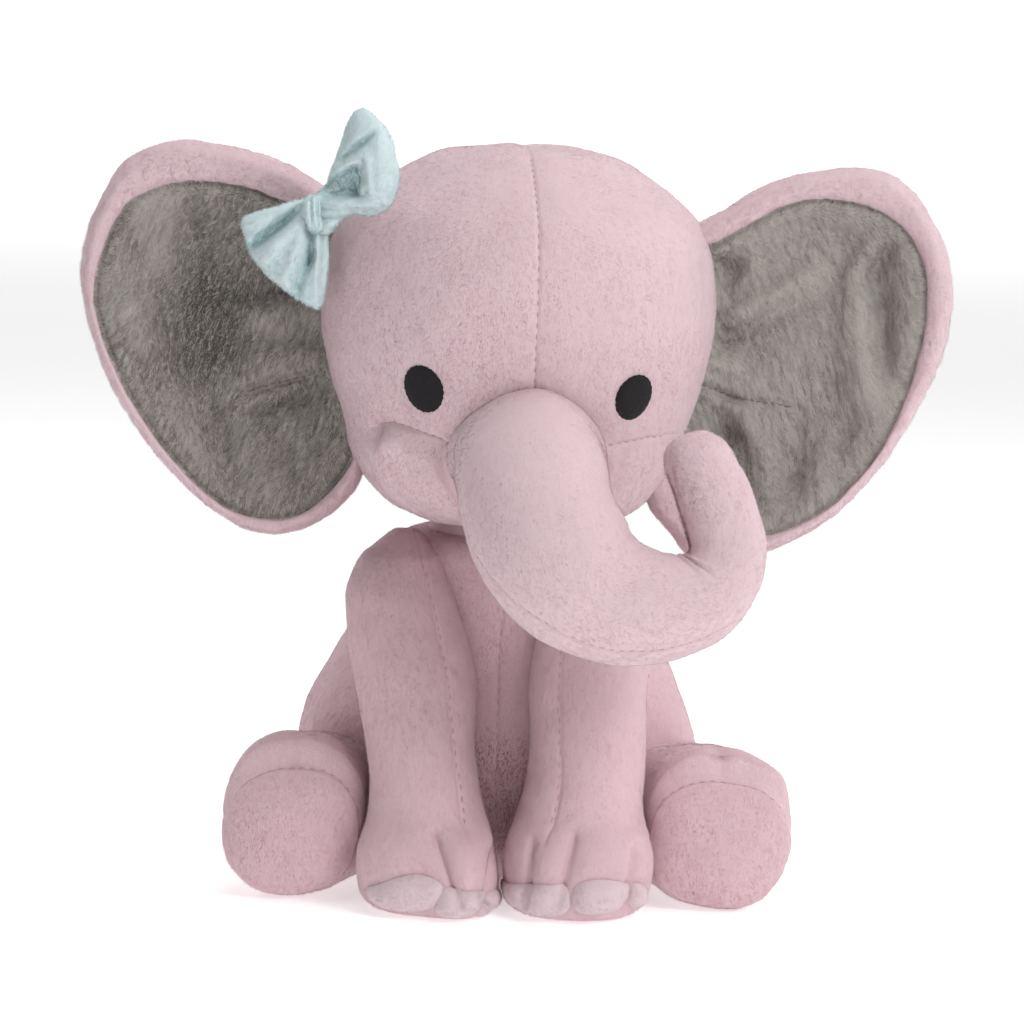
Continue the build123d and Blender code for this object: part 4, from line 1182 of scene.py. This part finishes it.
def make_hind_leg(name):
    """A stuffed tube lying forward from the hip, closed by a round padded sole that faces forward."""
    sign = -1 if name == "left" else 1
    dense = curve(HIND_RINGS, 700)
    length = distances(dense[:, :3])
    cx, cy, cz, half, tall = sample(dense, length, spread(0, length[-1], 0.85))
    angles = np.linspace(-180, 180, 210, endpoint=False)[None]
    rad = np.radians(angles)
    ux, uz = bent(np.sin(rad), 0.88), bent(np.cos(rad), 0.88)
    px, pz = cx + half * ux, cz + tall * uz
    # the sole: a round panel, seamed round its rim and puffed out
    sole_x, sole_z = SOLE_HALF[0] * ux, SOLE_HALF[1] * uz
    edge = np.linspace(0, 1, 6)[1:-1][:, None]
    turn_x, turn_z = (rim + (mid + sole - rim) * (1 - (1 - edge) ** 2)
                      for rim, mid, sole in ((px[-1:], SOLE_MID[0], sole_x), (pz[-1:], SOLE_MID[1], sole_z)))
    q = np.concatenate([np.linspace(1.0, 0.9, 7), np.linspace(0.87, 0.0, 26)])[:, None]
    p = np.concatenate([xyz(px, cy, pz), xyz(turn_x, cy[-1] + (SOLE_Y - cy[-1]) * edge, turn_z),
                        xyz(SOLE_MID[0] + q * sole_x, SOLE_Y - 5.2 * (1 - q ** 2.4), SOLE_MID[1] + q * sole_z)])
    seam_row = len(px) + len(turn_x)
    place, wide = HIND_PLACE[name]
    p[..., 0] = place + sign * (p[..., 0] - SOLE_MID[0]) * wide
    leg = Surface(p)
    step = np.linalg.norm(np.diff(p, axis=0), axis=-1)
    s = np.concatenate([np.zeros((1, p.shape[1])), np.cumsum(step, axis=0)])
    seam_d = s - s[seam_row][None]
    a = angles + 0 * s
    push = lumps(p, 0.75, 0.10, 130 + sign)
    push += groove(seam_d, p, 0.7, 132)
    top_d = a * np.radians(1) * 22
    push += groove(top_d, p, 0.45, 133) * (seam_d < 0) * (abs(a) < 60)
    side_d = abs(abs(a) - 90) * np.radians(1) * 22
    push += groove(side_d, p, 0.5, 134) * (seam_d < 0) * 0.6
    push += (1.1 * noise(p, 15, 135 + sign) + 0.5 * noise(p, 7, 138 + sign)) * (p[..., 1] < 0)
    push *= smoothstep(s, 0, 4)
    leg.push(push)
    leg.p[..., 2] = np.maximum(leg.p[..., 2], 0.08)

    # painted light: the covers lighter than the sole
    leg.nap = leg.nap + np.where(seam_d < 0, 0.9, 0.0)
    body = "hind_leg_" + name
    mover = ("ride", body)
    disc = np.arange(len(p) - 1)[:, None] >= seam_row
    upper = abs(leg.at_cells(a)) < 90
    upper[:, -1] = False
    top = upper & ~disc
    panel(body + "_upper_cover", leg, top, SHADED_PINK, mover, [body + "_upper_cover", body + "_stuffing"])
    panel(body + "_lower_cover", leg, ~upper & ~disc, SHADED_PINK, mover)
    panel(body + "_sole", leg, disc & leg.whole(), SHADED_PINK, mover)
    flow = (0, -0.25, -1)
    weight = 0.2 + 0.8 * smoothstep(np.minimum(abs(seam_d), abs(top_d) + 9 * (seam_d > 0)), 0.2, 1.3)
    # painted highlight: the top cover's paler fibres
    pile("pile_" + body + "_top", leg, top, LIT_TOP_PILE, mover, 4.6, 1.15, 0.18, 1.2, flow, weight=weight,
         seed=84 + sign)
    pile("pile_" + body, leg, ~top, SHADED_PINK_PILE, mover, 4.6, 1.15, 0.18, 1.2, flow, weight=weight,
         contrast=0.5, seed=80 + sign)
    over = np.where(abs(angles[0]) < 75)[0]
    stitches("stitches_" + body, leg.p[seam_row, over], leg.n[seam_row, over], mover, THREAD, 1.9, 1.2, 0.26, 0.15)


# ---------------------------------------------------------------- tail

TAIL_PATH = [  # centre and radius
    (0, 88, 43, 2.4), (0, 94, 41.5, 2.9), (0, 100, 37, 3.4), (0, 105.5, 30.5, 3.2), (0, 109, 25, 3.2),
]
TUFT_MID = (0, 111.8, 19.6)


def make_tail():
    sewn = ("blend", "torso", "tail", (0, 89, 43), (0, 98, 39))
    path = curve(TAIL_PATH, 40)
    t = unit(np.gradient(path[:, :3], axis=0))
    n1 = np.array([1.0, 0, 0])
    turn = circle(40)[None, :, None]
    p = path[:, None, :3] + path[:, None, 3:] * (np.cos(turn) * n1 + np.sin(turn) * np.cross(t, n1)[:, None])
    cord = Surface(p)
    cord.push(lumps(p, 0.2, 0.1, 140))
    panel("tail_cover", cord, cord.whole(), SHADED_PINK, sewn)
    pile("pile_tail", cord, cord.whole(), SHADED_PINK_PILE, sewn, 5, 1.1, 0.18, 1.3, np.broadcast_to(t[:, None], p.shape),
         seed=90)
    polar = np.linspace(0.01, np.pi - 0.01, 40)[:, None]
    a = circle(60)[None]
    x, y, z = TUFT_MID
    ball = xyz(x + 6.2 * np.sin(polar) * np.cos(a), 6.2 * np.sin(polar) * np.sin(a) + y, 7.4 * np.cos(polar) + z)
    tuft = Surface(ball)
    tuft.push(lumps(ball, 0.4, 0.2, 142))
    panel("tail_tuft", tuft, tuft.whole(), SHADED_PINK, ("ride", "tail"))
    pile("pile_tail_tuft", tuft, tuft.whole(), SHADED_PINK_PILE, ("ride", "tail"), 9, 2.6, 0.24, 1.0, (0, 0.2, -1.0), seed=92)


# ---------------------------------------------------------------- the scene

WORLD = 0.28
LIGHTS = [  # place in metres, size, watts
    ("key", (1.05, -1.15, 1.15), 0.75, 13.0),
    ("top", (0.15, 0.1, 1.6), 1.0, 9.5),
    ("low", (0.45, -1.6, 0.4), 0.9, 1.2),
    ("right_rim", (1.2, 0.55, 0.7), 0.7, 4.0),
    ("left_rim", (-1.0, 0.7, 1.0), 0.7, 3.0),
]
LIGHT_AIM = Vector((0, 0, 0.12))
BACKDROP = [(-2600, 5500, -1), (2600, 5500, -1), (2600, 5500, 3000), (-2600, 5500, 3000)]
FLOOR = [(-6000, -6000, -0.02), (6000, -6000, -0.02), (6000, 6000, -0.02), (-6000, 6000, -0.02)]


def make_studio():
    for name, corners, gray, glow in (("studio_backdrop", BACKDROP, 0.9, 0.9), ("studio_floor", FLOOR, 0.93, 0.45)):
        material, shader = principled(name, (gray, gray, gray, 1), 0.9, 0.0, WHITE)
        shader.inputs["Emission Color"].default_value = WHITE
        shader.inputs["Emission Strength"].default_value = glow
        mesh_object(name, np.array(corners, float), np.array([[0, 1, 2, 3]]), [material], smooth=False)
    world = bpy.data.worlds.new("studio")
    world.use_nodes = True
    world.node_tree.nodes["Background"].inputs["Color"].default_value = (1, 1, 1, 1)
    world.node_tree.nodes["Background"].inputs["Strength"].default_value = WORLD
    bpy.context.scene.world = world
    for name, place, size, power in LIGHTS:
        light = bpy.data.lights.new(name, "AREA")
        light.size, light.energy = size, power
        thing = bpy.data.objects.new(name, light)
        thing.location = Vector(place)
        thing.rotation_euler = (LIGHT_AIM - Vector(place)).to_track_quat("-Z", "Y").to_euler()
        bpy.context.scene.collection.objects.link(thing)
    view = bpy.context.scene.view_settings
    view.view_transform, view.look, view.exposure = "Standard", "None", 0.0


AIM = Vector((-0.0001, -0.025, 0.1145))
DISTANCE, PITCH, ROLL = 1.3, math.radians(6), math.radians(1.7)
LENS, SENSOR = 155.7, 36


def make_camera():
    ahead = Vector((0, math.cos(PITCH), -math.sin(PITCH)))
    right = Vector((1, 0, 0))
    up = right.cross(ahead)
    tilted_right = right * math.cos(ROLL) + up * math.sin(ROLL)
    tilted_up = up * math.cos(ROLL) - right * math.sin(ROLL)
    lens = bpy.data.cameras.new("photo_camera")
    lens.sensor_width, lens.lens, lens.clip_end = SENSOR, LENS, 20
    camera = bpy.data.objects.new("photo_camera", lens)
    matrix = Matrix((tilted_right, tilted_up, -ahead)).transposed().to_4x4()
    matrix.translation = AIM - ahead * DISTANCE
    camera.matrix_world = matrix
    bpy.context.scene.collection.objects.link(camera)
    bpy.context.scene.camera = camera


make_camera()
make_studio()
make_head()
make_trunk()
for side_name in ("left", "right"):
    make_ear(side_name)
    make_front_leg(side_name)
    make_hind_leg(side_name)
make_bow()
make_torso()
make_tail()
